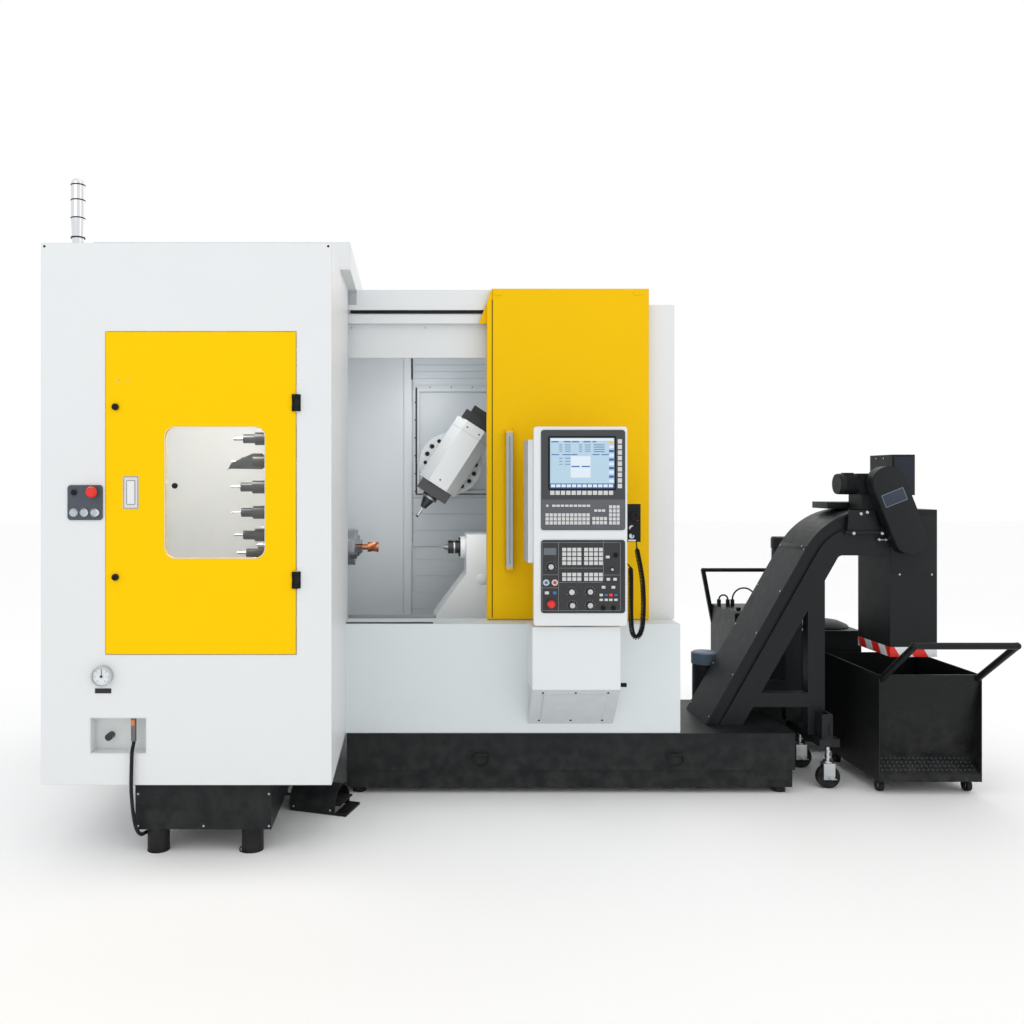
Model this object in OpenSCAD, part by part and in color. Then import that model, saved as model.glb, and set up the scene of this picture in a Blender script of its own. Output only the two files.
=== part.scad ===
// CNC turning and milling lathe with a tool magazine cabinet, chip conveyor, coolant unit and chip cart.
// Millimetres, +Z up. The modules draw in the machine's datum: X from a plane in the work opening,
// Y back from the cabinet's front face, Z from the floor. place() moves that to the bottom centre.

/* [Cabinet] */
// Width of the magazine cabinet
cab_w = 1206; // [1180:1:1300]
// Height of the cabinet's roof
cab_top = 2554; // [2500:1:2640]
// Height of the cabinet's lower edge
cab_base = 304; // [296:1:320]
// Depth of the cabinet's wide front part
cab_front_d = 930; // [915:1:940]
// Thickness of the folded sheet panels
wall = 20; // [14:1:22]
// Height of the hood on the roof
hood_h = 129; // [80:1:170]
// Height of the stack light
light_h = 343; // [250:1:450]
// Diameter of the stack light
light_d = 60; // [50:1:70]
// Width of the pedestal under the cabinet
pedestal_w = 572; // [520:1:640]
// Height of a levelling foot
foot_h = 101; // [80:1:120]
// Diameter of a levelling foot
foot_d = 92; // [70:1:110]
// Width of the push-button station
station_w = 145; // [130:1:160]
// Height of the push-button station
station_h = 145; // [130:1:160]
// Diameter of the pressure gauge
gauge_d = 86; // [60:1:100]
// Width of the air service recess
recess_w = 237; // [200:1:260]
// Height of the air service recess
recess_h = 153; // [140:1:180]
// Diameter of the air hose
hose_d = 16; // [12:1:18]

/* [Magazine door] */
// Width of the magazine door
mdoor_w = 788; // [760:1:800]
// Height of the magazine door
mdoor_h = 1336; // [1280:1:1360]
// Thickness of the magazine door
mdoor_t = 22; // [20:1:26]
// Width of its window
window_w = 415; // [360:1:430]
// Height of its window
window_h = 544; // [480:1:580]
// Corner radius of its window
window_r = 42; // [20:1:60]
// Diameter of a quarter-turn latch
latch_d = 28; // [22:1:34]
// Width of the flush paddle
paddle_w = 56; // [46:1:64]
// Height of the flush paddle
paddle_h = 128; // [110:1:150]

/* [Magazine] */
// Radius of the tool circle
mag_pitch_r = 400; // [360:1:410]
// Number of tools
mag_tools = 22; // [18:1:24]
// Diameter of a tool holder
holder_d = 58; // [44:1:64]
// Length of a tool holder
holder_l = 105; // [80:1:116]

/* [Base] */
// Length of the apron
apron_l = 1674; // [1650:1:1720]
// Height of the apron's top
apron_top = 850; // [840:1:860]
// Height of the bed's top
bed_top = 720; // [700:1:724]
// Length of the coolant tray
tray_l = 2241; // [2200:1:2300]
// Depth of the coolant tray
tray_d = 705; // [690:1:715]
// Height of the tray above the floor
tray_base = 32; // [24:1:44]
// Width of a drop ring on the tray
ring_w = 85; // [70:1:95]
// Drop of a ring
ring_h = 60; // [50:1:75]

/* [Enclosure] */
// Height of the top beam
beam_top = 2556; // [2530:1:2580]
// Height of the lintel's lower edge
lintel_z = 2210; // [2180:1:2240]
// Height of the enclosure's roof
roof_top = 2478; // [2460:1:2500]
// Width of the main door
door_w = 831; // [820:1:838]
// Thickness of the main door
door_t = 40; // [30:1:44]
// Length of the door's bar handle
bar_l = 713; // [600:1:800]
// Width of the door's bar handle
bar_w = 34; // [26:1:40]

/* [Spindle] */
// Height of the spindle axis
axis_z = 1190; // [1170:1:1200]
// Diameter of the chuck
chuck_d = 206; // [180:1:216]
// Thickness of the chuck
chuck_t = 98; // [80:1:104]
// Diameter of the spindle shaft
spindle_d = 140; // [110:1:150]
// Diameter of the workpiece's shank
shank_d = 33; // [24:1:40]
// Length of the workpiece
work_l = 131; // [100:1:140]

/* [Milling head] */
// Width of the saddle's frame
frame_w = 706; // [690:1:716]
// Height of the saddle's frame
frame_h = 691; // [660:1:700]
// Width of the head
head_w = 235; // [200:1:250]
// Length of the head from its tilt axis to its nose
head_nose_l = 152; // [140:1:160]
// Length of the head from its tilt axis to its rear
head_rear_l = 246; // [220:1:250]
// Radius of the tilt disc
disc_r = 181; // [170:1:190]
// Tilt of the head at rest, from straight down
head_tilt = 33; // [20:1:36]
// Length of the tool below the nose
tool_l = 148; // [120:1:155]

/* [Tailstock] */
// Height of the tailstock's body over the spindle axis
tail_rise = 79; // [70:1:84]
// Length of the tailstock's body
tail_l = 290; // [260:1:320]
// Depth of the tailstock's body
tail_d = 260; // [220:1:280]
// Diameter of the quill
quill_d = 90; // [70:1:96]

/* [Operator panel] */
// Width of the panel
panel_w = 446; // [440:1:460]
// Height of the panel
panel_h = 951; // [940:1:980]
// Thickness of the panel's front frame
panel_t = 30; // [24:1:36]
// Width of the screen
screen_w = 305; // [290:1:310]
// Height of the screen
screen_h = 239; // [228:1:245]
// Width of the operator box under the panel
opbox_w = 424; // [400:1:440]
// Diameter of the swivel pin
swivel_d = 60; // [40:1:64]

/* [Chip conveyor] */
// Height of the conveyor's top
conv_top = 1417; // [1400:1:1440]
// Thickness of the conveyor's head
conv_t = 237; // [225:1:250]
// Depth of the conveyor
conv_d = 340; // [320:1:350]
// Incline of the conveyor
conv_tilt = 60.4; // [58:0.1:62]
// Radius of the upper bend
conv_r = 391; // [370:1:410]
// Width of the discharge chute
chute_w = 243; // [220:1:260]
// Height of the chute's mouth
chute_z = 656; // [640:1:700]
// Radius of the conveyor's caster wheels
stand_wheel_r = 58; // [50:1:64]

/* [Chip cart] */
// Width of the cart
cart_w = 513; // [500:1:540]
// Depth of the cart
cart_d = 610; // [590:1:620]
// Height of the cart's rim
cart_rim = 599; // [580:1:620]
// Radius of the cart's wheels
cart_wheel_r = 31; // [26:1:32]

/* [Coolant unit] */
// Length of the coolant tank
tank_l = 730; // [700:1:760]
// Depth of the coolant tank
tank_d = 430; // [410:1:450]
// Height of the tank's raised part
tank_top = 800; // [780:1:830]

/* [Foot switch] */
// Length of the foot switch
pedal_l = 290; // [260:1:310]
// Depth of the foot switch
pedal_d = 180; // [160:1:190]
// Height of the foot switch
pedal_h = 120; // [110:1:140]

/* [Hidden] */
$fn = 48;

// Running and standing clearances
run_gap = 0.05;
slide_gap = 0.5;
seat_gap = 0.3;
door_gap = 3;
over = 1;
mid_share = 0.5;

// Main planes of the machine
cab_x1 = -342;
cab_x0 = cab_x1 - cab_w;
cab_rear_x1_off = 128;
cab_rear_x1 = cab_x1 - cab_rear_x1_off;
rear_y = 2200;
bed_y1 = 2150;
bed_y0 = 1180;
apron_y = 780;
apron_x1 = cab_x1 + apron_l;
ledge_t = 12;
front_y = 950;
axis_y = 1400;
liner_y = 1862;
liner_t = 12;
liner_x1 = 1300;
tray_x0_off = 6;
tray_x0 = cab_x1 + tray_x0_off;
tray_x1 = tray_x0 + tray_l;
cart_x0_off = 984;
cart_x0 = apron_x1 + cart_x0_off;

// Push-button station and gauge, on the cabinet's front
station_x_off = 112;
station_x = cab_x0 + station_x_off;
station_z = 1404;
station_t = 6;
estop_r = 24;
estop_l = 28;
estop_stem_r = 8;
estop_travel = 6;
collar_t = 7;
estop_front = station_t + collar_t + estop_travel + over + estop_l;
button_r = 14;
button_t = 8;
station_in_share = 0.18;
station_low_share = 0.21;
station_high_share = 0.8;
gauge_x_off = 258;
gauge_x = cab_x0 + gauge_x_off;
gauge_z = 759;
gauge_t = 28;
gauge_rim = 5;
gauge_deep = 6;
needle_t = 2;
needle_pin_r = 1.5;
needle_pin_l = 4;
needle_long_share = 0.78;
plate_w = 67;
plate_h = 20;
plate_t = 2;
gauge_plate_drop = 64;

// Bottom centre of the whole machine
origin_x = (cab_x0 + cart_x0 + cart_w) / 2;
origin_y = (rear_y - estop_front) / 2;

// Magazine door, its hinges and its window
mdoor_x1 = -490;
mdoor_x0 = mdoor_x1 - mdoor_w;
mdoor_z = 848;
mdoor_proud = 4;
pin_r = 4;
knuckle_r = 8;
hinge_h = 70;
hinge_x_off = 4;
hinge_x = mdoor_x1 + hinge_x_off;
hinge_y_off = 8;
hinge_y = -mdoor_proud - hinge_y_off;
hinge_leaf = 16;
leaf_t = 3;
hinge_shares = [0.23, 0.78];
window_x_off = 245;
window_x = mdoor_x0 + window_x_off;
window_z_off = 398;
window_z = mdoor_z + window_z_off;
pane_t = 5;
pane_lap = 14;
pane_knob_r = 11;
pane_knob_t = 10;
pane_knob_in = 37;
paddle_x_off = 104;
paddle_x = mdoor_x0 + paddle_x_off;
paddle_z_off = 670;
paddle_z = mdoor_z + paddle_z_off;
paddle_t = 8;
paddle_deep = 12;
paddle_pin_r = 3;
paddle_gap = 2;
latch_x_off = 41;
latch_x = mdoor_x0 + latch_x_off;
latch_shares = [0.767, 0.239];
latch_stem_r = 6;
latch_head_t = 10;
cam_w = 12;
cam_l = 60;
cam_t = 5;
cam_gap = wall + mdoor_proud - mdoor_t + over;

// Air service recess and its hose
recess_x_off = 202;
recess_x = cab_x0 + recess_x_off;
recess_z = 432;
recess_d = 70;
recess_t = 4;
knob_r = 15;
knob_t = 26;
knob_x_share = 0.3;
knob_z_share = 0.42;
coupler_x_off = 379;
coupler_x = cab_x0 + coupler_x_off;
coupler_y = 20;
coupler_r = 11;
coupler_end_z = 482;
air_route = [[-1169, 20, 482], [-1169, 16, 470], [-1168, 0, 455], [-1166, -16, 438], [-1166, -20, 400],
    [-1169, -16, 304], [-1167, -12, 240], [-1163, -4, 180], [-1158, 8, 130], [-1154, 30, 98],
    [-1150, 62, 76], [-1146, 105, 66], [-1136, 155, 64], [-1122, 210, 64], [-1103, 262, 65],
    [-1082, 300, 66], [-1070, 322, 66], [-1070, 340, 66]];

// Pedestal, feet and hood
pedestal_x0_off = 376;
pedestal_x0 = cab_x0 + pedestal_x0_off;
pedestal_y0 = 50;
pedestal_t = 12;
ped_foot_in = 50;
leg_w = 190;
leg_in = 20;
pad_r = 32;
pad_in = 60;
gland_w = 30;
gland_l = 40;
gland_z = 46;
hood_y0 = 483;
hood_over = 43;
hood_in = 50;
light_x_off = 62;
light_x = cab_x0 + light_x_off;
light_y = 250;
light_base_share = 0.73;

// Magazine
mag_y = 650;
mag_z = 1539;
mag_x = -610;
mag_t = 40;
mag_rim = 48;
mag_shaft_r = 30;
mag_drive_r = 120;
mag_nut_r = 42;
mag_nut_t = 20;
mag_slot_r = 70;
mag_slot_ring_share = 0.58;
mag_slots = 6;
bay_gap = 52;
bay_d = mag_y + mag_pitch_r + mag_rim + bay_gap;
tool_flange_r = 32;
tool_flange_t = 10;
tool_tail_r = 18;
tool_bit_shares = [0.18, 0.12, 0.3, 0.22];
tool_bit_l = 44;

// Bed, tray and rails
bed_wall = 60;
bed_left_in = 0;
bed_right_in = 22;
bed_front_top = 600;
bed_pockets = 4;
rail_w = 50;
rail_y_share = 0.23;
tail_rail_h = 50;
column_x0 = -60;
column_y0 = 1975;
column_top = 2300;
guide_w = 40;
guide_t = 30;
guide_in = 60;
tray_y = 775;
tray_wall = 6;
tray_fold_z = 120;
tray_fold = 10;
lid_x0_off = 8;
lid_x0 = apron_x1 + lid_x0_off;
ring_r = 4;
ring_z = 200;
ring_shares = [0.299, 0.733];
bracket_w = 97;
bracket_h = 34;
bracket_t = 4;
clip_r = 8;
clip_l_share = 0.62;

// Upper enclosure and main door
encl_t = 20;
encl_x1 = 1350;
beam_d = 60;
beam_z = 2434;
strip_z = 2384;
strip_in = 12;
slot_h = 18;
slot_d = 20;
lintel_y = 1000;
post_x0 = 470;
door_y = 900;
door_x0 = 375;
door_rail_w = 10;
door_rail_h = 6;
door_top = cab_top - 2 * over;
door_seam = 25;
seam_w = 3;
ear_w = 40;
ear_h = 174;
bar_x_off = 94;
bar_x = door_x0 + bar_x_off;
bar_z = 1111;
bar_t = 24;
bar_stand = 24;
bar_groove = 6;

// Spindle, headstock and workpiece
chuck_x1 = -332;
spindle_l = 640;
head_cap_r = 112;
head_cap_x_off = 10;
head_cap_x = chuck_x1 - chuck_t - head_cap_x_off;
head_block_l = 680;
head_block_d = 400;
head_block_rise = 230;
hole_r = 120;
jaw_w = 30;
jaw_deep = 28;
jaw_in_r = 22;
jaw_step_shares = [1, 0.62, 0.3];
jaw_reach = 74;
jaw_step_h = 13;
shank_share = 0.53;
twist_r = 28;
twist_dent_share = 0.82;
twist_lobes = 6;
twist_angle = 70;

// Saddle, carriage and tilting head
frame_x0 = -6;
frame_z0 = 1465;
frame_t = 20;
frame_edge = 40;
seal_w = 26;
seal_t = 6;
saddle_bar = 26;
plate_back = 24;
plate_thick = 14;
slat_h = 102;
slat_t = 8;
slat_step = 3;
upper_slat_h = 42;
upper_slats = 7;
moving_slats = 3;
head_x = 212;
head_y = axis_y;
head_z = 1664;
head_front = 110;
head_back = 90;
head_ridge_share = 0.5;
head_shoulder_share = 0.36;
disc_t = 40;
bolt_r = 14;
bolt_ring_share = 0.81;
bolt_deep = 14;
bolts = 18;
tilt_shaft_r = 60;
tilt_shaft_l = 100;
ram_r = 140;
nose_w = 186;
nose_d = 170;
nose_t = 62;
cover_t = 54;
cover_share = 0.82;
cover_tip_share = 0.58;
arbor_r = 35;
arbor_l = 90;
collet_r = 45;
collet_share = 0.14;
cone_share = 0.42;
cone_tip_r = 17;
drill_r = 7;

// Tailstock
tail_x0 = 290;
tail_foot_l = 177;
tail_foot_z = 1050;
tail_back_l = 80;
tail_skirt = 40;
flange_r = 61.5;
flange_t = 28;
quill_l = 230;
nut_r = 37;
nut_l = 69;
centre_r = 20;
centre_l = 40;
centre_tail_r = 12;
centre_tail_l = 60;

// Operator box and panel
opbox_x = 569;
opbox_y = 600;
opbox_z = 562;
opbox_top = 863;
opbox_low = 352;
opbox_plate_t = 3;
opbox_plate_share = 0.72;
panel_x = 572;
panel_y = 570;
panel_z = 874;
panel_r = 14;
swivel_x = panel_x + panel_w / 2;
swivel_y = 690;
swivel_l = 97;
neck_w = 150;
neck_d = 100;
shell_x_off = 24;
shell_x = panel_x - shell_x_off;
shell_y1 = 780;
shell_z = 1172;
shell_h = 592;
face_t = 4;
face_x_off = 34;
face_x = panel_x + face_x_off;
face_w = 401;
upper_face_z = 1331;
upper_face_h = 478;
lower_face_z = 935;
lower_face_h = 349;
screen_x = 649;
screen_z = 1531;
screen_t = 3;
key_t = 4;
key_gap_share = 0.2;
knob_pin_r = 4;
knob_pin_l = 8;
dial_r = 13;
dial_t = 16;
panel_estop_share = 0.115;
panel_estop_r = 20;
panel_stop_z_share = 0.13;
knob_place_shares = [0.36, 0.29];
pendant_w = 61;
pendant_d = 34;
pendant_h = 181;
pendant_z = 1274;
pendant_y = 575;
pendant_arm = 4;
mpg_r = 22;
mpg_t = 8;
coil_r = 13;
lead_r = 4;
cord_route = [[1066, 592, 1274], [1068, 592, 1250], [1074, 592, 1210], [1086, 592, 1150], [1096, 592, 1080],
    [1100, 592, 1000], [1099, 592, 920], [1094, 592, 864], [1082, 592, 828], [1067, 592, 815],
    [1052, 592, 827], [1043, 592, 862], [1040, 592, 930], [1040, 592, 1010], [1040, 592, 1085],
    [1039, 592, 1135], [1034, 592, 1162], [1027, 592, 1171], [1018, 592, 1172]];
lead_rings = 2;

// Chip conveyor, chute and drive
conv_y = 930;
conv_bend_x_off = 882;
conv_bend_x = apron_x1 + conv_bend_x_off;
conv_end_x_off = 1127;
conv_end_x = apron_x1 + conv_end_x_off;
conv_r_in = 30;
conv_lean = 152;
conv_skin = 15;
conv_rail_shares = [0, 0.06, 0.38, 1];
arc_steps = 12;
post_x_off = 703;
post_x = apron_x1 + post_x_off;
post_w = 88;
post_top = 1100;
post_d = 60;
post_base = 253;
cross_x_off = 368;
cross_x = apron_x1 + cross_x_off;
cross_z = 397;
cross_h = 73;
shoe_x_off = 728;
shoe_x = apron_x1 + shoe_x_off;
shoe_w = 104;
shoe_h = 40;
shoe_out = 80;
yoke_x_off = 780;
yoke_x = apron_x1 + yoke_x_off;
yoke_y_shares = [0.062, 0.86];
yoke_t = 6;
yoke_stem_r = 12;
stand_wheel_w = 30;
axle_r = 6;
chute_t = 8;
guard_y = 860;
guard_r = 85;
guard_x_off = 1086;
guard_x = apron_x1 + guard_x_off;
guard_z = 1555;
guard_low_x_off = 1198;
guard_low_x = apron_x1 + guard_low_x_off;
guard_low_z = 1275;
motor_x_off = 883;
motor_x = apron_x1 + motor_x_off;
motor_l = 96;
motor_r = 53;
motor_z = 1549;
motor_y = 1000;
gear_l = 106;
gear_w = 110;
gear_foot = 70;
cbox_x_off = 1252;
cbox_x = apron_x1 + cbox_x_off;
cbox_w = 124;
cbox_y = 1150;
cbox_d = 238;
cbox_z = 1488;
cbox_h = 218;
cbox_foot = 90;
switch_r = 26;
switch_t = 22;

// Chip cart
cart_y = 760;
cart_wheel_gap = 4;
cart_base = 2 * cart_wheel_r + cart_wheel_gap;
cart_t = 5;
cart_lip_h = 19;
cart_tread_d = 95;
cart_tread_z = 178;
cart_floor_t = 19;
cart_axle_in = 70;
cart_wheel_w = 24;
cart_wheel_in = 24;
cart_axle_r = 6;
cart_fork_t = 5;
grip_r = 16;
grip_y = 467;
grip_z = 796;
grip_in = 18;

// Coolant unit
tank_x_off = 518;
tank_x = apron_x1 + tank_x_off;
tank_y = tray_y + tray_d;
tank_base = 60;
tank_foot_r = 30;
tank_foot_in = 70;
motor_tank_x_off = 844;
motor_tank_x = apron_x1 + motor_tank_x_off;
motor_tank_y = 1560;
motor_tank_r = 58;
motor_tank_h = 534;
tray_pump_share = 0.536;
tray_pump_x = lid_x0 + tray_pump_share * (tray_x1 - lid_x0);
tray_pump_y = 1385;
tray_pump_r = 66;
tray_pump_h = 230;
cap_h = 59;
cap_r = 72;
plug_r = 12;
plug_h = 40;
hose_r = 5;
hose_arcs = [[0.0575, 27], [0.2288, 70]];
hose_y_off = 320;
tank_low_z = 700;
tank_step_share = 0.35;
rail_r = 12;
rail_z = 1010;
rail_x_off = 467;
rail_x = apron_x1 + rail_x_off;
rail_l = 411;
bracket_z = 680;
arm_t = 10;

// Foot switch
pedal_x = -565;
pedal_y = 640;
pedal_turn = -18;
pedal_base_t = 10;
pedal_wall = 6;
treadle_t = 8;
treadle_l_share = 0.72;
treadle_z = 42;
treadle_pin_r = 5;
stub_r = 7;
stub_l = 60;

// Small forms shared by several pieces
elbow_share = 1.08;
post_lip_w = 44;
post_lip = 18;
fixed_slat_top = 1180;
slat_face_share = 0.94;
ear_t = 8;
light_dome_share = 0.2;
station_stop_share = 0.745;
collar_share = 0.8;
mush_edge_share = 0.72;
mdoor_r = 4;
knob_up_share = 0.55;
holder_nose_share = 0.7;
jaw_angles = [90, 210, 330];
plate_left = 290;
plate_right = 60;
key_h = 25;
key_pitch = 32;
key_side = 17;
soft_keys = 12;
centre_tip_share = 0.1;
shell_in = 24;
pendant_arm_share = 0.86;
board_shares = [[0.059, 0.232, 0.034, 0.028, 1, 1], [0.13, 0.232, 0.462, 0.028, 9, 1],
    [0.051, 0.056, 0.535, 0.12, 11, 3], [0.806, 0.056, 0.135, 0.2, 3, 5], [0.631, 0.183, 0.138, 0.03, 3, 1],
    [0.608, 0.058, 0.183, 0.082, 4, 2]];
block_cols = 4;
block_shares = [[0.25, 0.659, 0.239, 0.247, 4], [0.511, 0.659, 0.233, 0.247, 4],
    [0.25, 0.442, 0.239, 0.123, 2], [0.511, 0.442, 0.233, 0.123, 2]];
mpg_share = 0.3;
pedal_hood_share = 0.8;
pedal_pin_share = 0.16;
side_keys = 9;

module place() { translate([-origin_x, -origin_y, 0]) children(); }
module box(lo, hi) { translate(lo) cube(hi - lo); }
module xcyl(r, x0, x1, y, z) { translate([x0, y, z]) rotate([0, 90, 0]) cylinder(r = r, h = x1 - x0); }
module ycyl(r, x, y0, y1, z) { translate([x, y0, z]) rotate([-90, 0, 0]) cylinder(r = r, h = y1 - y0); }
module zcyl(r, x, y, z0, z1) { translate([x, y, z0]) cylinder(r = r, h = z1 - z0); }

// Rectangle with round corners, from its lower corner
module round_rect(w, h, r) {
    translate([r, 0]) square([w - 2 * r, h]);
    translate([0, r]) square([w, h - 2 * r]);
    for (x = [r, w - r], z = [r, h - r]) translate([x, z]) circle(r);
}

// Upright plate with round corners, facing the front
module front_plate(x, y, z, w, h, t, r) {
    translate([x, y + t, z]) rotate([90, 0, 0]) linear_extrude(t) round_rect(w, h, r);
}

// Outline in Y and Z, drawn out along X
module side_profile(x, w, points) {
    translate([x, 0, 0]) rotate([90, 0, 90]) linear_extrude(w) polygon(points);
}

// Outline in X and Z, drawn out along Y
module front_profile(y, d, points) {
    translate([0, y + d, 0]) rotate([90, 0, 0]) linear_extrude(d) polygon(points);
}

// Tube swept along a route of points, with one radius for each point
function unit(v) = v / norm(v);
function heading(p, i) = unit(p[min(i + 1, len(p) - 1)] - p[max(i - 1, 0)]);
function ring(c, d, r, sides) =
    let (a = unit(cross(d, abs(d.y) > mid_share ? [0, 0, 1] : [0, 1, 0])), b = cross(d, a))
    [for (k = [0:sides - 1]) c + r * (cos(360 * k / sides) * a + sin(360 * k / sides) * b)];
module sweep(p, radii, sides) {
    n = len(p);
    points = [for (i = [0:n - 1]) each ring(p[i], heading(p, i), radii[i], sides)];
    sides_faces = [for (i = [0:n - 2], k = [0:sides - 1])
        [i * sides + k, i * sides + (k + 1) % sides,
         (i + 1) * sides + (k + 1) % sides, (i + 1) * sides + k]];
    start = [for (k = [sides - 1:-1:0]) k];
    end = [for (k = [0:sides - 1]) (n - 1) * sides + k];
    polyhedron(points, concat(sides_faces, [start, end]));
}

module machine_bed() place() color("slategray") {
    x0 = cab_x0 + bed_left_in;
    x1 = apron_x1 - bed_right_in;
    pocket = (x1 - x0 - bed_wall) / bed_pockets;
    rail_y = tail_d * rail_y_share;
    difference() {
        union() {
            box([x0, bed_y0, cab_base], [x1, bed_y1, bed_top]);
            box([cab_x1 + bed_left_in, apron_y + encl_t + over, cab_base], [x1, bed_y0, bed_front_top]);
            box([column_x0, column_y0, bed_top], [x1, bed_y1, column_top]);
            for (x = [x0 + leg_in, cab_x1 - leg_w, x1 - leg_w - leg_in])
                box([x, bed_y1 - leg_w - leg_in, foot_h], [x + leg_w, bed_y1 - leg_in, cab_base]);
            for (y = [axis_y - rail_y - rail_w, axis_y + rail_y])
                box([cab_x1 + leg_in, y, bed_top], [liner_x1 - leg_in, y + rail_w, bed_top + tail_rail_h]);
            for (x = [frame_x0 + guide_in, frame_x0 + frame_w - guide_in - guide_w])
                box([x, column_y0 - guide_t, apron_top], [x + guide_w, column_y0, column_top]);
        }
        for (i = [0:bed_pockets - 1])
            box([x0 + bed_wall + i * pocket, bed_y0 + bed_wall, cab_base - over],
                [x0 + (i + 1) * pocket, bed_y1 - leg_w - 2 * leg_in, bed_top - bed_wall]);
    }
}

module levelling_feet() place() color("dimgray") {
    x0 = cab_x0 + bed_left_in;
    x1 = apron_x1 - bed_right_in;
    inset = ped_foot_in + foot_d / 2 - leg_in / 2;
    for (x = [pedestal_x0 + inset, pedestal_x0 + pedestal_w - inset],
         y = [pedestal_y0 + foot_d / 2, bed_y0 - inset])
        zcyl(foot_d / 2, x, y, 0, foot_h);
    for (x = [x0 + leg_in, cab_x1 - leg_w, x1 - leg_w - leg_in])
        zcyl(foot_d / 2, x + leg_w / 2, bed_y1 - leg_in - leg_w / 2, 0, foot_h);
    for (x = [tray_x0 + pad_in, tray_x0 + tray_l - pad_in], y = [tray_y + pad_in, tray_y + tray_d - pad_in])
        zcyl(pad_r, x, y, 0, tray_base);
}

module coolant_tray() place() color("darkslategray") {
    x1 = tray_x0 + tray_l;
    y1 = tray_y + tray_d;
    difference() {
        union() {
            box([tray_x0, tray_y, tray_fold_z], [x1, y1, cab_base]);
            box([tray_x0, tray_y + tray_fold, tray_base], [x1 - tray_fold, y1, tray_fold_z]);
        }
        box([tray_x0 + tray_wall, tray_y + tray_fold + tray_wall, tray_base + tray_wall],
            [x1 - tray_fold - tray_wall, y1 - tray_wall, cab_base - tray_wall]);
        box([tray_x0 + tray_wall, tray_y + tray_fold + tray_wall, tray_base + tray_wall],
            [lid_x0, y1 - tray_wall, cab_base + over]);
    }
    for (s = ring_shares) ring_bracket(tray_x0 + s * tray_l);
}

module ring_bracket(x) {
    y = tray_y - bracket_t - clip_r;
    clip_l = ring_w * clip_l_share;
    box([x - bracket_w / 2, tray_y - bracket_t, ring_z - bracket_h / 2],
        [x + bracket_w / 2, tray_y, ring_z + bracket_h / 2]);
    difference() {
        union() {
            xcyl(clip_r, x - clip_l / 2, x + clip_l / 2, y, ring_z);
            box([x - clip_l / 2, y, ring_z], [x + clip_l / 2, tray_y - bracket_t, ring_z + clip_r]);
        }
        xcyl(ring_r + run_gap, x - bracket_w, x + bracket_w, y, ring_z);
    }
}

module tray_rings() place() color("gray") {
    y = tray_y - bracket_t - clip_r;
    for (s = ring_shares) {
        x = tray_x0 + s * tray_l;
        out = ring_w / 2 - ring_r;
        xcyl(ring_r, x - out, x + out, y, ring_z);
        xcyl(ring_r, x - out, x + out, y, ring_z - ring_h);
        for (side = [-out, out]) {
            zcyl(ring_r, x + side, y, ring_z - ring_h, ring_z);
            for (z = [ring_z, ring_z - ring_h]) translate([x + side, y, z]) sphere(ring_r * elbow_share);
        }
    }
}

module base_apron() place() color("gainsboro") {
    box([cab_x1, apron_y, cab_base], [apron_x1, apron_y + encl_t, apron_top]);
    box([cab_x1, apron_y + encl_t, apron_top - ledge_t], [apron_x1, front_y, apron_top]);
    box([apron_x1 - encl_t, apron_y + encl_t, cab_base], [apron_x1, bed_y1, apron_top]);
    box([cab_x1 + over, door_y + door_t / 2 - door_rail_w / 2, apron_top],
        [apron_x1 - over, door_y + door_t / 2 + door_rail_w / 2, apron_top + door_rail_h]);
}

module operator_box() place() color("whitesmoke") {
    side_profile(opbox_x, opbox_w, [[apron_y, opbox_low], [opbox_y, opbox_z], [opbox_y, opbox_top],
        [apron_y, opbox_top]]);
    slope = atan((opbox_z - opbox_low) / (apron_y - opbox_y));
    run = norm([opbox_z - opbox_low, apron_y - opbox_y]);
    translate([opbox_x + opbox_w / 2, (opbox_y + apron_y) / 2, (opbox_z + opbox_low) / 2])
        rotate([-slope, 0, 0])
        translate([-opbox_w * opbox_plate_share / 2, -run * opbox_plate_share / 2, -opbox_plate_t])
        cube([opbox_w * opbox_plate_share, run * opbox_plate_share, opbox_plate_t]);
    zcyl(swivel_d / 2, swivel_x, swivel_y, opbox_top, opbox_top + swivel_l);
}

module upper_enclosure() place() color("whitesmoke") difference() {
    union() {
        box([cab_rear_x1, front_y, beam_z], [encl_x1, front_y + beam_d, roof_top]);
        box([cab_x1 + hood_over + over, front_y, roof_top], [encl_x1 - ear_h, front_y + beam_d, beam_top]);
        box([cab_rear_x1, front_y + strip_in, strip_z], [encl_x1, front_y + beam_d, beam_z]);
        box([cab_rear_x1 + encl_t, lintel_y, lintel_z], [post_x0, lintel_y + ledge_t, strip_z]);
        box([post_x0, front_y, apron_top], [encl_x1, front_y + encl_t, beam_z]);
        box([encl_x1 - encl_t, front_y + encl_t, apron_top], [encl_x1, rear_y, roof_top]);
        box([cab_rear_x1, rear_y - encl_t, apron_top], [encl_x1 - encl_t, rear_y, roof_top]);
        box([cab_rear_x1, front_y + beam_d, roof_top - encl_t],
            [encl_x1 - encl_t, rear_y - encl_t, roof_top]);
    }
    box([cab_rear_x1 - over, front_y - over, beam_z], [post_x0, front_y + slot_d, beam_z + slot_h]);
}

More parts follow.
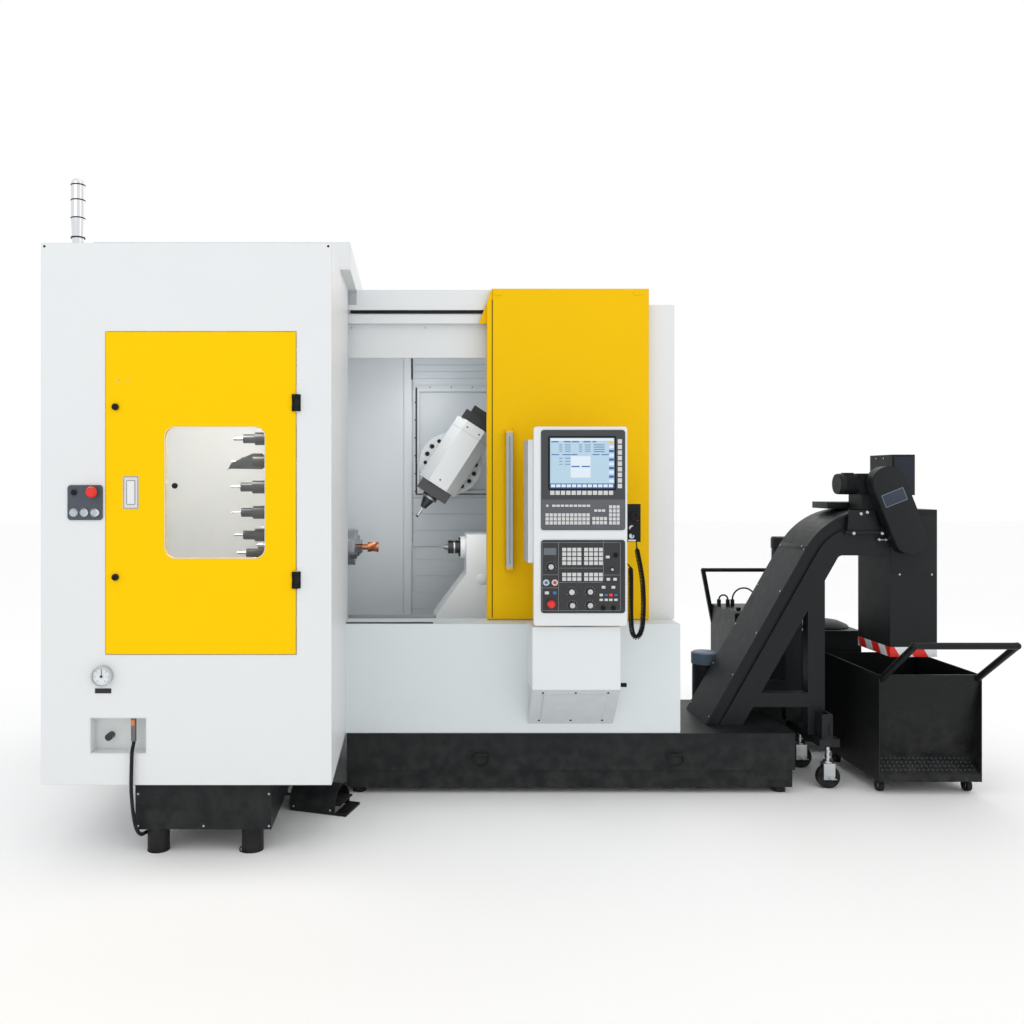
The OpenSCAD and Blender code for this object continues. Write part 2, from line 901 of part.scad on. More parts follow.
module work_liner() place() color("lightsteelblue") {
    x0 = cab_rear_x1;
    y1 = liner_y + liner_t;
    gap_x0 = frame_x0 - liner_t;
    gap_x1 = frame_x0 + frame_w + liner_t;
    slat_y = liner_y + frame_t + slat_t;
    difference() {
        box([x0, cab_front_d, bed_top], [x0 + encl_t, y1, strip_z]);
        xcyl(hole_r, x0 - over, x0 + encl_t + over, axis_y, axis_z);
    }
    box([x0 + encl_t, liner_y, bed_top], [gap_x0, y1, strip_z]);
    box([gap_x0 - post_lip_w, liner_y - post_lip, bed_top], [gap_x0, liner_y, strip_z]);
    box([gap_x1, liner_y, bed_top], [liner_x1, y1, strip_z]);
    box([liner_x1 - liner_t, front_y + encl_t, bed_top], [liner_x1, liner_y, strip_z]);
    for (x = [gap_x0 - liner_t, gap_x1])
        box([x, y1, bed_top], [x + liner_t, slat_y + slat_t, fixed_slat_top]);
    box([gap_x0, slat_y, bed_top], [gap_x1, slat_y + slat_t, fixed_slat_top]);
    for (z = [fixed_slat_top - slat_h:-slat_h:bed_top])
        box([gap_x0, slat_y - slat_step, z], [gap_x1, slat_y, z + slat_h * slat_face_share]);
    side_profile(cab_x1 + over, liner_x1 - liner_t - cab_x1 - over,
        [[apron_y + encl_t + over, apron_top - ledge_t - 2 * liner_t],
         [apron_y + encl_t + over, apron_top - ledge_t - liner_t],
         [axis_y - tail_d / 2 - rail_w, bed_top + liner_t], [axis_y - tail_d / 2 - rail_w, bed_top]]);
}

module main_door() place() color("gold") difference() {
    z0 = apron_top + door_rail_h + seat_gap;
    corner_z = door_top - ear_h * door_seam / (door_seam + ear_w);
    union() {
        front_profile(door_y, door_t, [[door_x0, z0], [door_x0 + door_w, z0], [door_x0 + door_w, door_top],
            [door_x0 + door_seam - over, door_top], [door_x0, corner_z]]);
        front_profile(door_y + door_t - ear_t, ear_t, [[door_x0, door_top - ear_h], [door_x0, corner_z],
            [door_x0 - ear_w, door_top - ear_h]]);
    }
    box([door_x0 + door_seam, door_y - over, z0 - over],
        [door_x0 + door_seam + seam_w, door_y + seam_w, door_top + over]);
}

module door_handle() place() color("silver") {
    y1 = door_y - bar_stand;
    difference() {
        box([bar_x, y1 - bar_t, bar_z], [bar_x + bar_w, y1, bar_z + bar_l]);
        box([bar_x + bar_w / 2 - bar_groove / 2, y1 - bar_t - over, bar_z + bar_w],
            [bar_x + bar_w / 2 + bar_groove / 2, y1 - bar_t / 2, bar_z + bar_l - bar_w]);
    }
    for (z = [bar_z, bar_z + bar_l - bar_w])
        box([bar_x, y1, z], [bar_x + bar_w, door_y, z + bar_w]);
}

module left_cabinet() place() color("whitesmoke") {
    roof_y = bed_y1 - hood_in;
    difference() {
        union() {
            box([cab_x0, 0, cab_base], [cab_x1, cab_front_d, cab_top]);
            box([cab_x0, cab_front_d - wall, cab_base], [cab_rear_x1, bed_y0, cab_top]);
            box([cab_x0, bed_y0 - wall, bed_top], [cab_rear_x1, bed_y1, cab_top]);
            box([cab_x0 + hood_in, hood_y0, cab_top], [cab_x1 + hood_over, roof_y, cab_top + hood_h]);
        }
        box([cab_x0 + wall, wall, cab_base + wall], [cab_x1 - wall, cab_front_d - wall, cab_top - wall]);
        box([cab_x0 + wall, cab_front_d - 2 * wall, cab_base + wall],
            [cab_rear_x1 - wall, bay_d, cab_top - wall]);
        box([cab_x0 + wall, bed_y0, bed_top - over], [cab_rear_x1 - wall, bed_y1 - wall, cab_top - wall]);
        box([mdoor_x0 - door_gap, -over, mdoor_z - door_gap],
            [mdoor_x1 + door_gap, wall + over, mdoor_z + mdoor_h + door_gap]);
        box([recess_x, -over, recess_z], [recess_x + recess_w, wall + over, recess_z + recess_h]);
        xcyl(hole_r, cab_rear_x1 - 2 * wall, cab_rear_x1 + over, axis_y, axis_z);
    }
    xcyl(mag_drive_r, mag_x + slide_gap, cab_x1 - wall, mag_y, mag_z);
    xcyl(mag_shaft_r, mag_x - mag_t - mag_nut_t, mag_x + slide_gap, mag_y, mag_z);
    xcyl(mag_nut_r, mag_x - mag_t - mag_nut_t, mag_x - mag_t - slide_gap, mag_y, mag_z);
}

module cabinet_pedestal() place() color("darkslategray") {
    x1 = pedestal_x0 + pedestal_w;
    gland = air_route[len(air_route) - 1];
    difference() {
        box([pedestal_x0, pedestal_y0, foot_h], [x1, bed_y0, cab_base]);
        box([pedestal_x0 + pedestal_t, pedestal_y0 + pedestal_t, foot_h + pedestal_t],
            [x1 - pedestal_t, bed_y0 - pedestal_t, cab_base + over]);
    }
    box([gland.x - gland_w / 2, gland.y, gland_z], [gland.x + gland_w / 2, gland.y + gland_l, foot_h]);
}

module stack_light() place() color("silver") translate([light_x, light_y, cab_top]) rotate_extrude()
    polygon([[0, 0], [light_d * light_base_share / 2, 0], [light_d / 2, light_h * mid_share],
        [light_d / 2, light_h - light_d * light_dome_share], [light_d * light_base_share / 2, light_h],
        [0, light_h]]);

module cabinet_station() place() color("dimgray") {
    estop_x = station_x + station_w * station_stop_share;
    high = station_z + station_h * station_high_share;
    low = station_z + station_h * station_low_share;
    difference() {
        union() {
            front_plate(station_x, -station_t, station_z, station_w, station_h, station_t, panel_r);
            ycyl(estop_r * collar_share, estop_x, -station_t - collar_t, -station_t, high);
        }
        ycyl(estop_stem_r + run_gap, estop_x, -station_t - collar_t - over, over, high);
    }
    for (s = [station_in_share, mid_share, 1 - station_in_share])
        ycyl(button_r, station_x + station_w * s, -station_t - button_t, -station_t, low);
    ycyl(button_r, station_x + station_w * station_in_share, -station_t - button_t, -station_t, high);
}

// Mushroom head with a stem, pressed along +Y, with its skirt's back at y
module mushroom(x, y, z, r, l, stem_r, stem_l) {
    translate([x, y, z]) rotate([90, 0, 0]) rotate_extrude()
        polygon([[0, 0], [r * collar_share, 0], [r, l * mid_share], [r * mush_edge_share, l], [0, l]]);
    ycyl(stem_r, x, y, y + stem_l, z);
}

module station_estop() place() color("red")
    mushroom(station_x + station_w * station_stop_share, estop_l - estop_front,
        station_z + station_h * station_high_share, estop_r, estop_l, estop_stem_r,
        estop_front - estop_l - estop_travel - over);

module pressure_gauge() place() color("dimgray") {
    r = gauge_d / 2;
    difference() {
        ycyl(r, gauge_x, -gauge_t, 0, gauge_z);
        ycyl(r - gauge_rim, gauge_x, -gauge_t - over, gauge_deep - gauge_t, gauge_z);
        ycyl(needle_pin_r + run_gap, gauge_x, -gauge_t, gauge_deep - gauge_t + needle_pin_l + over, gauge_z);
    }
    box([gauge_x - plate_w / 2, -plate_t, gauge_z - gauge_plate_drop - plate_h / 2],
        [gauge_x + plate_w / 2, 0, gauge_z - gauge_plate_drop + plate_h / 2]);
}

module gauge_needle() place() color("black") {
    y1 = gauge_deep - gauge_t - seat_gap;
    reach = (gauge_d / 2 - gauge_rim) * needle_long_share;
    ycyl(2 * needle_pin_r, gauge_x, y1 - needle_t, y1, gauge_z);
    ycyl(needle_pin_r, gauge_x, y1, y1 + needle_pin_l, gauge_z);
    box([gauge_x - needle_pin_r / 2, y1 - needle_t, gauge_z],
        [gauge_x + needle_pin_r / 2, y1, gauge_z + reach]);
}

module air_unit() place() color("lightgray") {
    difference() {
        box([recess_x, 0, recess_z], [recess_x + recess_w, recess_d, recess_z + recess_h]);
        box([recess_x + recess_t, -over, recess_z + recess_t],
            [recess_x + recess_w - recess_t, recess_d - recess_t, recess_z + recess_h - recess_t]);
    }
    ycyl(knob_r, recess_x + recess_w * knob_x_share, recess_d - recess_t - knob_t - coupler_y,
        recess_d - recess_t, recess_z + recess_h * knob_z_share);
    zcyl(coupler_r, coupler_x, coupler_y, coupler_end_z, recess_z + recess_h - recess_t);
}

module air_hose() place() color("black")
    sweep(air_route, [for (p = air_route) hose_d / 2], 12);

module cabinet_hinges() place() color("black") for (s = hinge_shares) {
    z = mdoor_z + s * mdoor_h;
    third = hinge_h / 6;
    zcyl(pin_r, hinge_x, hinge_y, z - hinge_h / 2, z + hinge_h / 2);
    zcyl(knuckle_r, hinge_x, hinge_y, z - third, z + third);
    box([hinge_x, hinge_y, z - third], [hinge_x + knuckle_r, 0, z + third]);
    box([hinge_x + knuckle_r / 2, -leaf_t, z - hinge_h / 2], [hinge_x + hinge_leaf, 0, z + hinge_h / 2]);
}

module magazine_door() place() color("gold") {
    y1 = mdoor_t - mdoor_proud;
    axis_h = paddle_z + paddle_h / 2 - paddle_pin_r - paddle_gap;
    difference() {
        front_plate(mdoor_x0, -mdoor_proud, mdoor_z, mdoor_w, mdoor_h, mdoor_t, mdoor_r);
        front_plate(window_x, -mdoor_proud - over, window_z, window_w, window_h, mdoor_t + 2 * over,
            window_r);
        box([paddle_x - paddle_w / 2 - paddle_gap, -mdoor_proud - over, paddle_z - paddle_h / 2 - paddle_gap],
            [paddle_x + paddle_w / 2 + paddle_gap, paddle_deep - mdoor_proud,
                paddle_z + paddle_h / 2 + paddle_gap]);
        xcyl(paddle_pin_r + run_gap, paddle_x - paddle_w / 2 - knuckle_r, paddle_x + paddle_w / 2 + knuckle_r,
            paddle_t / 2 - mdoor_proud, axis_h);
        for (s = latch_shares)
            ycyl(latch_stem_r + run_gap, latch_x, -mdoor_proud - over, y1 + over, mdoor_z + s * mdoor_h);
    }
    for (s = hinge_shares) door_leaf(mdoor_z + s * mdoor_h);
}

// Door side of a hinge: a leaf on the door's face and two outer knuckles
module door_leaf(z) {
    third = hinge_h / 6;
    box([mdoor_x1 - hinge_leaf, -mdoor_proud - leaf_t, z - hinge_h / 2],
        [hinge_x - knuckle_r - over, -mdoor_proud, z + hinge_h / 2]);
    for (z0 = [z - hinge_h / 2, z + third + slide_gap]) difference() {
        z1 = z0 + 2 * third - slide_gap;
        union() {
            zcyl(knuckle_r, hinge_x, hinge_y, z0, z1);
            box([mdoor_x1 - hinge_leaf, hinge_y, z0], [hinge_x, -mdoor_proud, z1]);
        }
        zcyl(pin_r + run_gap, hinge_x, hinge_y, z0 - over, z1 + over);
    }
}

module magazine_window() place() color("lightblue") {
    y = mdoor_t - mdoor_proud;
    front_plate(window_x - pane_lap, y, window_z - pane_lap, window_w + 2 * pane_lap,
        window_h + 2 * pane_lap, pane_t, window_r + pane_lap);
    ycyl(pane_knob_r, window_x + pane_knob_in, y - pane_knob_t, y, window_z + window_h * knob_up_share);
}

module flush_paddle() place() color("silver") {
    axis_h = paddle_z + paddle_h / 2 - paddle_pin_r - paddle_gap;
    box([paddle_x - paddle_w / 2, -mdoor_proud, paddle_z - paddle_h / 2],
        [paddle_x + paddle_w / 2, paddle_t - mdoor_proud, paddle_z + paddle_h / 2]);
    xcyl(paddle_pin_r, paddle_x - paddle_w / 2 - knuckle_r / 2, paddle_x + paddle_w / 2 + knuckle_r / 2,
        paddle_t / 2 - mdoor_proud, axis_h);
}

module latch(z) {
    y0 = -mdoor_proud - seat_gap;
    cam_y = mdoor_t - mdoor_proud + cam_gap;
    ycyl(latch_d / 2, latch_x, y0 - latch_head_t, y0, z);
    ycyl(latch_stem_r, latch_x, y0, cam_y + cam_t, z);
    box([latch_x - cam_w / 2, cam_y, z - cam_w / 2], [latch_x + cam_w / 2, cam_y + cam_t, z + cam_l]);
}

module latch_upper() place() color("black") latch(mdoor_z + latch_shares[0] * mdoor_h);
module latch_lower() place() color("black") latch(mdoor_z + latch_shares[1] * mdoor_h);

module magazine_disc() place() color("lightgray") difference() {
    union() {
        xcyl(mag_pitch_r + mag_rim, mag_x - mag_t, mag_x, mag_y, mag_z);
    }
    xcyl(mag_shaft_r + run_gap, mag_x - mag_t - over, mag_x + over, mag_y, mag_z);
    for (i = [0:mag_tools - 1]) magazine_place(360 * i / mag_tools, mag_pitch_r)
        xcyl(tool_tail_r + seat_gap, mag_x - mag_t - over, mag_x + over, 0, 0);
    for (i = [0:mag_slots - 1]) magazine_place(360 * i / mag_slots, mag_pitch_r * mag_slot_ring_share)
        xcyl(mag_slot_r, mag_x - mag_t - over, mag_x + over, 0, 0);
}

// Moves a piece drawn on the X axis to an angle and radius around the magazine's axis
module magazine_place(angle, r) {
    translate([0, mag_y - r * cos(angle), mag_z + r * sin(angle)]) children();
}

module magazine_tools() place() color("dimgray") for (i = [0:mag_tools - 1])
    magazine_place(360 * i / mag_tools, mag_pitch_r) {
        face = mag_x - mag_t;
        tip = face - tool_flange_t - holder_l;
        bit = tool_bit_shares[i % len(tool_bit_shares)];
        xcyl(tool_tail_r, face, mag_x, 0, 0);
        xcyl(tool_flange_r, face - tool_flange_t, face, 0, 0);
        xcyl(holder_d / 2, tip + holder_l * mid_share, face - tool_flange_t, 0, 0);
        xcyl(holder_d * holder_nose_share / 2, tip, tip + holder_l * mid_share, 0, 0);
        xcyl(holder_d * bit / 2, tip - tool_bit_l, tip, 0, 0);
    }

module headstock() place() color("slategray") difference() {
    x1 = cab_rear_x1 - wall - over;
    union() {
        box([x1 - head_block_l, axis_y - head_block_d / 2, bed_top],
            [x1, axis_y + head_block_d / 2, axis_z + head_block_rise]);
        xcyl(head_cap_r, x1, head_cap_x, axis_y, axis_z);
    }
    xcyl(spindle_d / 2 + run_gap, x1 - head_block_l - over, head_cap_x + over, axis_y, axis_z);
}

module spindle_chuck() place() color("darkgray") difference() {
    union() {
        xcyl(chuck_d / 2, chuck_x1 - chuck_t, chuck_x1, axis_y, axis_z);
        xcyl(spindle_d / 2, chuck_x1 - chuck_t - spindle_l, chuck_x1 - chuck_t, axis_y, axis_z);
    }
    for (a = jaw_angles) jaw_place(a)
        box([chuck_x1 - jaw_deep - seat_gap, -jaw_w / 2, jaw_in_r - over],
            [chuck_x1 + over, jaw_w / 2, chuck_d]);
}

// Turns a piece drawn above the spindle axis to a jaw's angle
module jaw_place(angle) { translate([0, axis_y, axis_z]) rotate([angle - 90, 0, 0]) children(); }

module jaw(angle) place() color("gray") jaw_place(angle) {
    w = jaw_w / 2 - seat_gap;
    grip = shank_d / 2 + seat_gap;
    box([chuck_x1 - jaw_deep, -w, jaw_in_r], [chuck_x1, w, jaw_in_r + jaw_reach]);
    for (i = [0:len(jaw_step_shares) - 1])
        box([chuck_x1 + i * jaw_step_h, -w, grip],
            [chuck_x1 + (i + 1) * jaw_step_h, w, grip + (jaw_reach + jaw_in_r - grip) * jaw_step_shares[i]]);
}

module jaw_a() jaw(jaw_angles[0]);
module jaw_b() jaw(jaw_angles[1]);
module jaw_c() jaw(jaw_angles[2]);

module workpiece() place() color("peru") {
    shank_x = chuck_x1 + work_l * shank_share;
    xcyl(shank_d / 2, chuck_x1, shank_x, axis_y, axis_z);
    translate([shank_x, axis_y, axis_z]) rotate([0, 90, 0])
        linear_extrude(work_l * (1 - shank_share), twist = twist_angle, slices = arc_steps)
        polygon([for (i = [0:2 * twist_lobes - 1])
            let (r = i % 2 == 0 ? twist_r : twist_r * twist_dent_share, a = 180 * i / twist_lobes)
            [r * cos(a), r * sin(a)]]);
}

module saddle_frame() place() color("lightgray") {
    x1 = frame_x0 + frame_w;
    z1 = frame_z0 + frame_h;
    y1 = liner_y + frame_t;
    difference() {
        union() {
            box([frame_x0, liner_y, frame_z0], [x1, y1, z1]);
            box([frame_x0 + frame_edge - seal_w, liner_y - seal_t, frame_z0 + frame_edge - seal_w],
                [x1 - frame_edge + seal_w, liner_y, z1 - frame_edge + seal_w]);
        }
        box([frame_x0 + frame_edge, liner_y - seal_t - over, frame_z0 + frame_edge],
            [x1 - frame_edge, y1 + over, z1 - frame_edge]);
    }
    for (z = [frame_z0, z1 - saddle_bar])
        box([frame_x0, y1, z], [x1, column_y0 - guide_t - slide_gap, z + saddle_bar]);
    box([frame_x0, y1 - slat_t, frame_z0 - moving_slats * slat_h], [x1, y1, frame_z0]);
    for (i = [1:moving_slats])
        box([frame_x0, y1 - slat_t - slat_step, frame_z0 - i * slat_h],
            [x1, y1 - slat_t, frame_z0 - i * slat_h + slat_h * slat_face_share]);
    box([frame_x0, y1 - slat_t, z1], [x1, y1, z1 + upper_slats * upper_slat_h]);
    for (i = [0:upper_slats - 1])
        box([frame_x0, y1 - slat_t - slat_step, z1 + (i + 1 - slat_face_share) * upper_slat_h],
            [x1, y1 - slat_t, z1 + (i + 1) * upper_slat_h]);
}

module carriage() place() color("lightgray") difference() {
    y0 = liner_y + plate_back;
    disc_y = head_y + head_back + disc_t;
    union() {
        box([frame_x0 - plate_left, y0, frame_z0 + saddle_bar + slide_gap],
            [frame_x0 + frame_w + plate_right, y0 + plate_thick,
                frame_z0 + frame_h - saddle_bar - slide_gap]);
        ycyl(ram_r, head_x, disc_y + slide_gap, y0, head_z);
    }
    ycyl(tilt_shaft_r + run_gap, head_x, disc_y - over, disc_y + tilt_shaft_l + over, head_z);
}

// Head frame: tilt axis along Y at the origin, nose towards -Z
module head_place() { translate([head_x, head_y, head_z]) rotate([0, head_tilt, 0]) children(); }

module tool_head() place() color("whitesmoke") head_place() difference() {
    w = head_w / 2;
    union() {
        translate([0, 0, -head_nose_l]) linear_extrude(head_nose_l + head_rear_l)
            polygon([[-w, head_back], [-w, -head_front * head_shoulder_share],
                [-w * head_ridge_share, -head_front],
                [w * head_ridge_share, -head_front], [w, -head_front * head_shoulder_share], [w, head_back]]);
        ycyl(disc_r, 0, head_back, head_back + disc_t, 0);
        ycyl(tilt_shaft_r, 0, head_back + disc_t, head_back + disc_t + tilt_shaft_l, 0);
    }
    zcyl(arbor_r + run_gap, 0, 0, -head_nose_l - over, arbor_l - head_nose_l + over);
    for (i = [0:bolts - 1]) let (a = 360 * (i + mid_share) / bolts, r = disc_r * bolt_ring_share)
        if (abs(r * cos(a)) > w + bolt_r || r * sin(a) > head_rear_l || r * sin(a) < -head_nose_l + bolt_r)
            ycyl(bolt_r, r * cos(a), head_back - over, head_back + bolt_deep, r * sin(a));
}

module head_covers() place() color("black") head_place() {
    w = head_w / 2;
    difference() {
        box([-nose_w / 2, -nose_d / 2, -head_nose_l - nose_t], [nose_w / 2, nose_d / 2, -head_nose_l]);
        zcyl(arbor_r + run_gap, 0, 0, -head_nose_l - nose_t - over, over - head_nose_l);
    }
    box([-w * cover_share, -head_front * cover_share, head_rear_l],
        [w * cover_share, head_back * cover_share, head_rear_l + cover_t]);
    box([-w * cover_tip_share, -head_front * cover_tip_share, head_rear_l + cover_t],
        [w * cover_tip_share, head_back * cover_tip_share, head_rear_l + cover_t * (1 + cover_share)]);
}

module tool_spindle() place() color("dimgray") head_place() {
    z0 = -head_nose_l - nose_t - slide_gap;
    flange = z0 - tool_l * collet_share;
    cone = flange - tool_l * cone_share;
    zcyl(arbor_r, 0, 0, z0, arbor_l - head_nose_l);
    zcyl(collet_r, 0, 0, flange, z0);
    translate([0, 0, cone]) cylinder(r1 = cone_tip_r, r2 = collet_r * collar_share, h = flange - cone);
    zcyl(drill_r, 0, 0, -head_nose_l - nose_t - tool_l, cone);
}

module tailstock() place() color("whitesmoke") difference() {
    z0 = bed_top + tail_rail_h + slide_gap;
    x1 = tail_x0 + tail_l;
    union() {
        front_profile(axis_y - tail_d / 2, tail_d, [[tail_x0 - tail_foot_l, z0],
            [tail_x0 - tail_foot_l, z0 + tail_skirt], [tail_x0, tail_foot_z], [tail_x0, axis_z + tail_rise],
            [x1, axis_z + tail_rise], [x1 + tail_back_l, tail_foot_z], [x1 + tail_back_l, z0]]);
        xcyl(flange_r, tail_x0 - flange_t, tail_x0, axis_y, axis_z);
    }
    xcyl(quill_d / 2 + run_gap, tail_x0 - flange_t - over, tail_x0 - flange_t + quill_l + over, axis_y,
        axis_z);
}

module tailstock_quill() place() color("dimgray") difference() {
    x0 = tail_x0 - flange_t;
    union() {
        xcyl(quill_d / 2, x0, x0 + quill_l, axis_y, axis_z);
        xcyl(nut_r, x0 - nut_l, x0, axis_y, axis_z);
    }
    xcyl(centre_tail_r + run_gap, x0 - nut_l - over, x0 - nut_l + centre_tail_l + over, axis_y, axis_z);
}

module live_centre() place() color("silver") {
    x1 = tail_x0 - flange_t - nut_l - slide_gap;
    xcyl(centre_tail_r, x1, x1 + centre_tail_l, axis_y, axis_z);
    translate([x1 - centre_l, axis_y, axis_z]) rotate([0, 90, 0])
        cylinder(r1 = centre_r * centre_tip_share, r2 = centre_r, h = centre_l);
}

panel_stop_x = face_x + face_w * panel_estop_share;
panel_stop_z = lower_face_z + lower_face_h * panel_stop_z_share;
panel_knob_x = face_x + face_w * knob_place_shares[0];
panel_knob_z = lower_face_z + lower_face_h * knob_place_shares[1];
panel_front = panel_y - face_t;

// Bores of the emergency stop and the override knob in the panel's front
module panel_bores() {
    ycyl(estop_stem_r + run_gap, panel_stop_x, panel_front - over, panel_front + panel_t * mid_share,
        panel_stop_z);
    ycyl(knob_pin_r + run_gap, panel_knob_x, panel_front - over, panel_front + panel_t * mid_share,
        panel_knob_z);
}

module panel_housing() place() color("whitesmoke") difference() {
    union() {
        front_plate(panel_x, panel_y, panel_z, panel_w, panel_h, panel_t, panel_r);
        box([shell_x, panel_y + panel_t, shell_z],
            [panel_x + panel_w - shell_in, shell_y1, shell_z + shell_h]);
        box([swivel_x - neck_w / 2, swivel_y - neck_d / 2, panel_z],
            [swivel_x + neck_w / 2, swivel_y + neck_d / 2, shell_z]);
        box([swivel_x - neck_w / 2, panel_y + panel_t, shell_z - neck_w],
            [swivel_x + neck_w / 2, swivel_y - neck_d / 2, shell_z]);
    }
    panel_bores();
    zcyl(swivel_d / 2 + run_gap, swivel_x, swivel_y, panel_z - over, opbox_top + swivel_l + over);
}

module panel_faces() place() color("dimgray") difference() {
    union() {
        front_plate(face_x, panel_front, upper_face_z, face_w, upper_face_h, face_t, panel_r);
        front_plate(face_x, panel_front, lower_face_z, face_w, lower_face_h, face_t, panel_r);
    }
    panel_bores();
}

module panel_screen() place() color("lightblue")
    box([screen_x, panel_front - screen_t, screen_z],
        [screen_x + screen_w, panel_front, screen_z + screen_h]);

// Block of keys in columns and rows, from its lower corner
module key_block(x, z, w, h, cols, rows) {
    cell = [w / cols, h / rows];
    size = cell * (1 - key_gap_share);
    for (i = [0:cols - 1], k = [0:rows - 1])
        translate([x + i * cell.x, panel_front - key_t, z + k * cell.y]) cube([size.x, key_t, size.y]);
}

module panel_keys() place() color("gray") {
    key_block(screen_x, screen_z - key_pitch, screen_w, key_h, soft_keys, 1);
    key_block(screen_x + screen_w + key_side, screen_z, key_h, screen_h, 1, side_keys);
    for (b = board_shares)
        key_block(face_x + face_w * b[0], upper_face_z + upper_face_h * b[1],
            face_w * b[2], upper_face_h * b[3], b[4], b[5]);
    for (b = block_shares)
        key_block(face_x + face_w * b[0], lower_face_z + lower_face_h * b[1],
            face_w * b[2], lower_face_h * b[3], block_cols, b[4]);
}

module panel_estop() place() color("red")
    mushroom(panel_stop_x, panel_front - estop_travel - over, panel_stop_z, panel_estop_r, estop_l,
        estop_stem_r,
        estop_travel + over + face_t);

module override_knob() place() color("black") {
    ycyl(dial_r, panel_knob_x, panel_front - seat_gap - dial_t, panel_front - seat_gap, panel_knob_z);
    ycyl(knob_pin_r, panel_knob_x, panel_front - seat_gap, panel_front + knob_pin_l, panel_knob_z);
}

module pendant() place() color("black") {
    x0 = panel_x + panel_w + pendant_arm;
    box([x0, pendant_y, pendant_z], [x0 + pendant_w, pendant_y + pendant_d, pendant_z + pendant_h]);
    box([x0 - pendant_arm, pendant_y, pendant_z + pendant_h * mid_share],
        [x0, pendant_y + pendant_d * mid_share, pendant_z + pendant_h * pendant_arm_share]);
    ycyl(mpg_r, x0 + pendant_w / 2, pendant_y - mpg_t, pendant_y, pendant_z + pendant_h * mpg_share);
}

module pendant_cord() place() color("black") {
    last = len(cord_route) - 1;
    sweep(cord_route, [for (i = [0:last]) i < lead_rings || i > last - lead_rings ? lead_r : coil_r], 10);
}

// Foot switch frame: length along X from its rear, on the floor
module pedal_place() { translate([pedal_x, pedal_y, 0]) rotate([0, 0, pedal_turn]) children(); }

module pedal_arch(x0, x1, inset) {
    r = pedal_d / 2 - inset;
    xcyl(r, x0, x1, 0, pedal_h - pedal_d / 2);
    box([x0, -r, inset > 0 ? pedal_base_t : 0], [x1, r, pedal_h - pedal_d / 2]);
}

module foot_switch() place() color("black") pedal_place() {
    hood_l = pedal_l * pedal_hood_share;
    pin_x = pedal_l * pedal_pin_share;
    intersection() {
        box([0, -pedal_d, 0], [pedal_l, pedal_d, pedal_h]);
        difference() {
            pedal_arch(0, hood_l, 0);
            pedal_arch(pedal_wall, hood_l + over, pedal_wall);
            ycyl(treadle_pin_r + run_gap, pin_x, -pedal_d, pedal_d, treadle_z + treadle_t / 2);
        }
    }
    box([hood_l, -pedal_d / 2, 0], [pedal_l, pedal_d / 2, pedal_base_t]);
    xcyl(stub_r, -stub_l, 0, 0, treadle_z);
    translate([-stub_l, 0, treadle_z]) sphere(stub_r * elbow_share);
    zcyl(stub_r, -stub_l, 0, treadle_z, foot_h);
}

module foot_treadle() place() color("gray") pedal_place() {
    half = pedal_d / 2 - 2 * pedal_wall;
    pin_x = pedal_l * pedal_pin_share;
    box([pin_x - treadle_t, -half, treadle_z],
        [pin_x + pedal_l * treadle_l_share, half, treadle_z + treadle_t]);
    ycyl(treadle_pin_r, pin_x, -pedal_d / 2 + slide_gap + pedal_wall * mid_share,
        pedal_d / 2 - slide_gap - pedal_wall * mid_share, treadle_z + treadle_t / 2);
}

// Line of the conveyor at a depth below its upper face: up the incline, round the bend, along the top
function conv_line(depth) = let (s = depth / conv_t, r = conv_r + (conv_r_in - conv_r) * s,
    turn = 90 + conv_tilt,
    centre = [conv_bend_x + conv_lean * (1 - s), conv_top - depth - r],
    foot = centre + r * [cos(turn), sin(turn)],
    back = (foot.y - cab_base) / sin(conv_tilt))
    concat([foot - back * [cos(conv_tilt), sin(conv_tilt)]],
        [for (i = [0:arc_steps]) let (a = turn - conv_tilt * i / arc_steps) centre + r * [cos(a), sin(a)]],
        [[conv_end_x, centre.y + r]]);
function reversed(v) = [for (i = [len(v) - 1:-1:0]) v[i]];

// Strip of the conveyor's side between two shares of its thickness
module conv_band(y, d, from_share, to_share) {
    front_profile(y, d, concat(conv_line(conv_t * from_share), reversed(conv_line(conv_t * to_share))));
}

module chip_conveyor() place() color("darkslategray") {
    y1 = conv_y + conv_d;
    conv_band(conv_y + conv_skin, conv_d - 2 * conv_skin, conv_rail_shares[0], conv_rail_shares[3]);
    for (y = [conv_y, y1 - conv_skin], k = [0, 2])
        conv_band(y, conv_skin, conv_rail_shares[k], conv_rail_shares[k + 1]);
    for (y = [conv_y, y1 - post_d])
        box([post_x, y, post_base], [post_x + post_w, y + post_d, post_top]);
    for (y = [conv_y, y1 - post_d])
        box([cross_x, y, cross_z], [post_x, y + post_d, cross_z + cross_h]);
    box([shoe_x, conv_y - shoe_out, post_base - shoe_h], [shoe_x + shoe_w, y1, post_base]);
}

module discharge_chute() place() color("darkslategray") difference() {
    y1 = conv_y + conv_d;
    x1 = conv_end_x + chute_w;
    box([conv_end_x, conv_y, chute_z], [x1, y1, conv_top]);
    box([conv_end_x + chute_t, conv_y + chute_t, chute_z - over],
        [x1 - chute_t, y1 - chute_t, conv_top - chute_t]);
}

// Outline with two round ends
function obround(p, q, r) = let (a = atan2(q.y - p.y, q.x - p.x))
    concat([for (i = [0:2 * arc_steps]) p + r * [cos(a + 90 + 90 * i / arc_steps),
        sin(a + 90 + 90 * i / arc_steps)]],
        [for (i = [0:2 * arc_steps]) q + r * [cos(a - 90 + 90 * i / arc_steps),
            sin(a - 90 + 90 * i / arc_steps)]]);

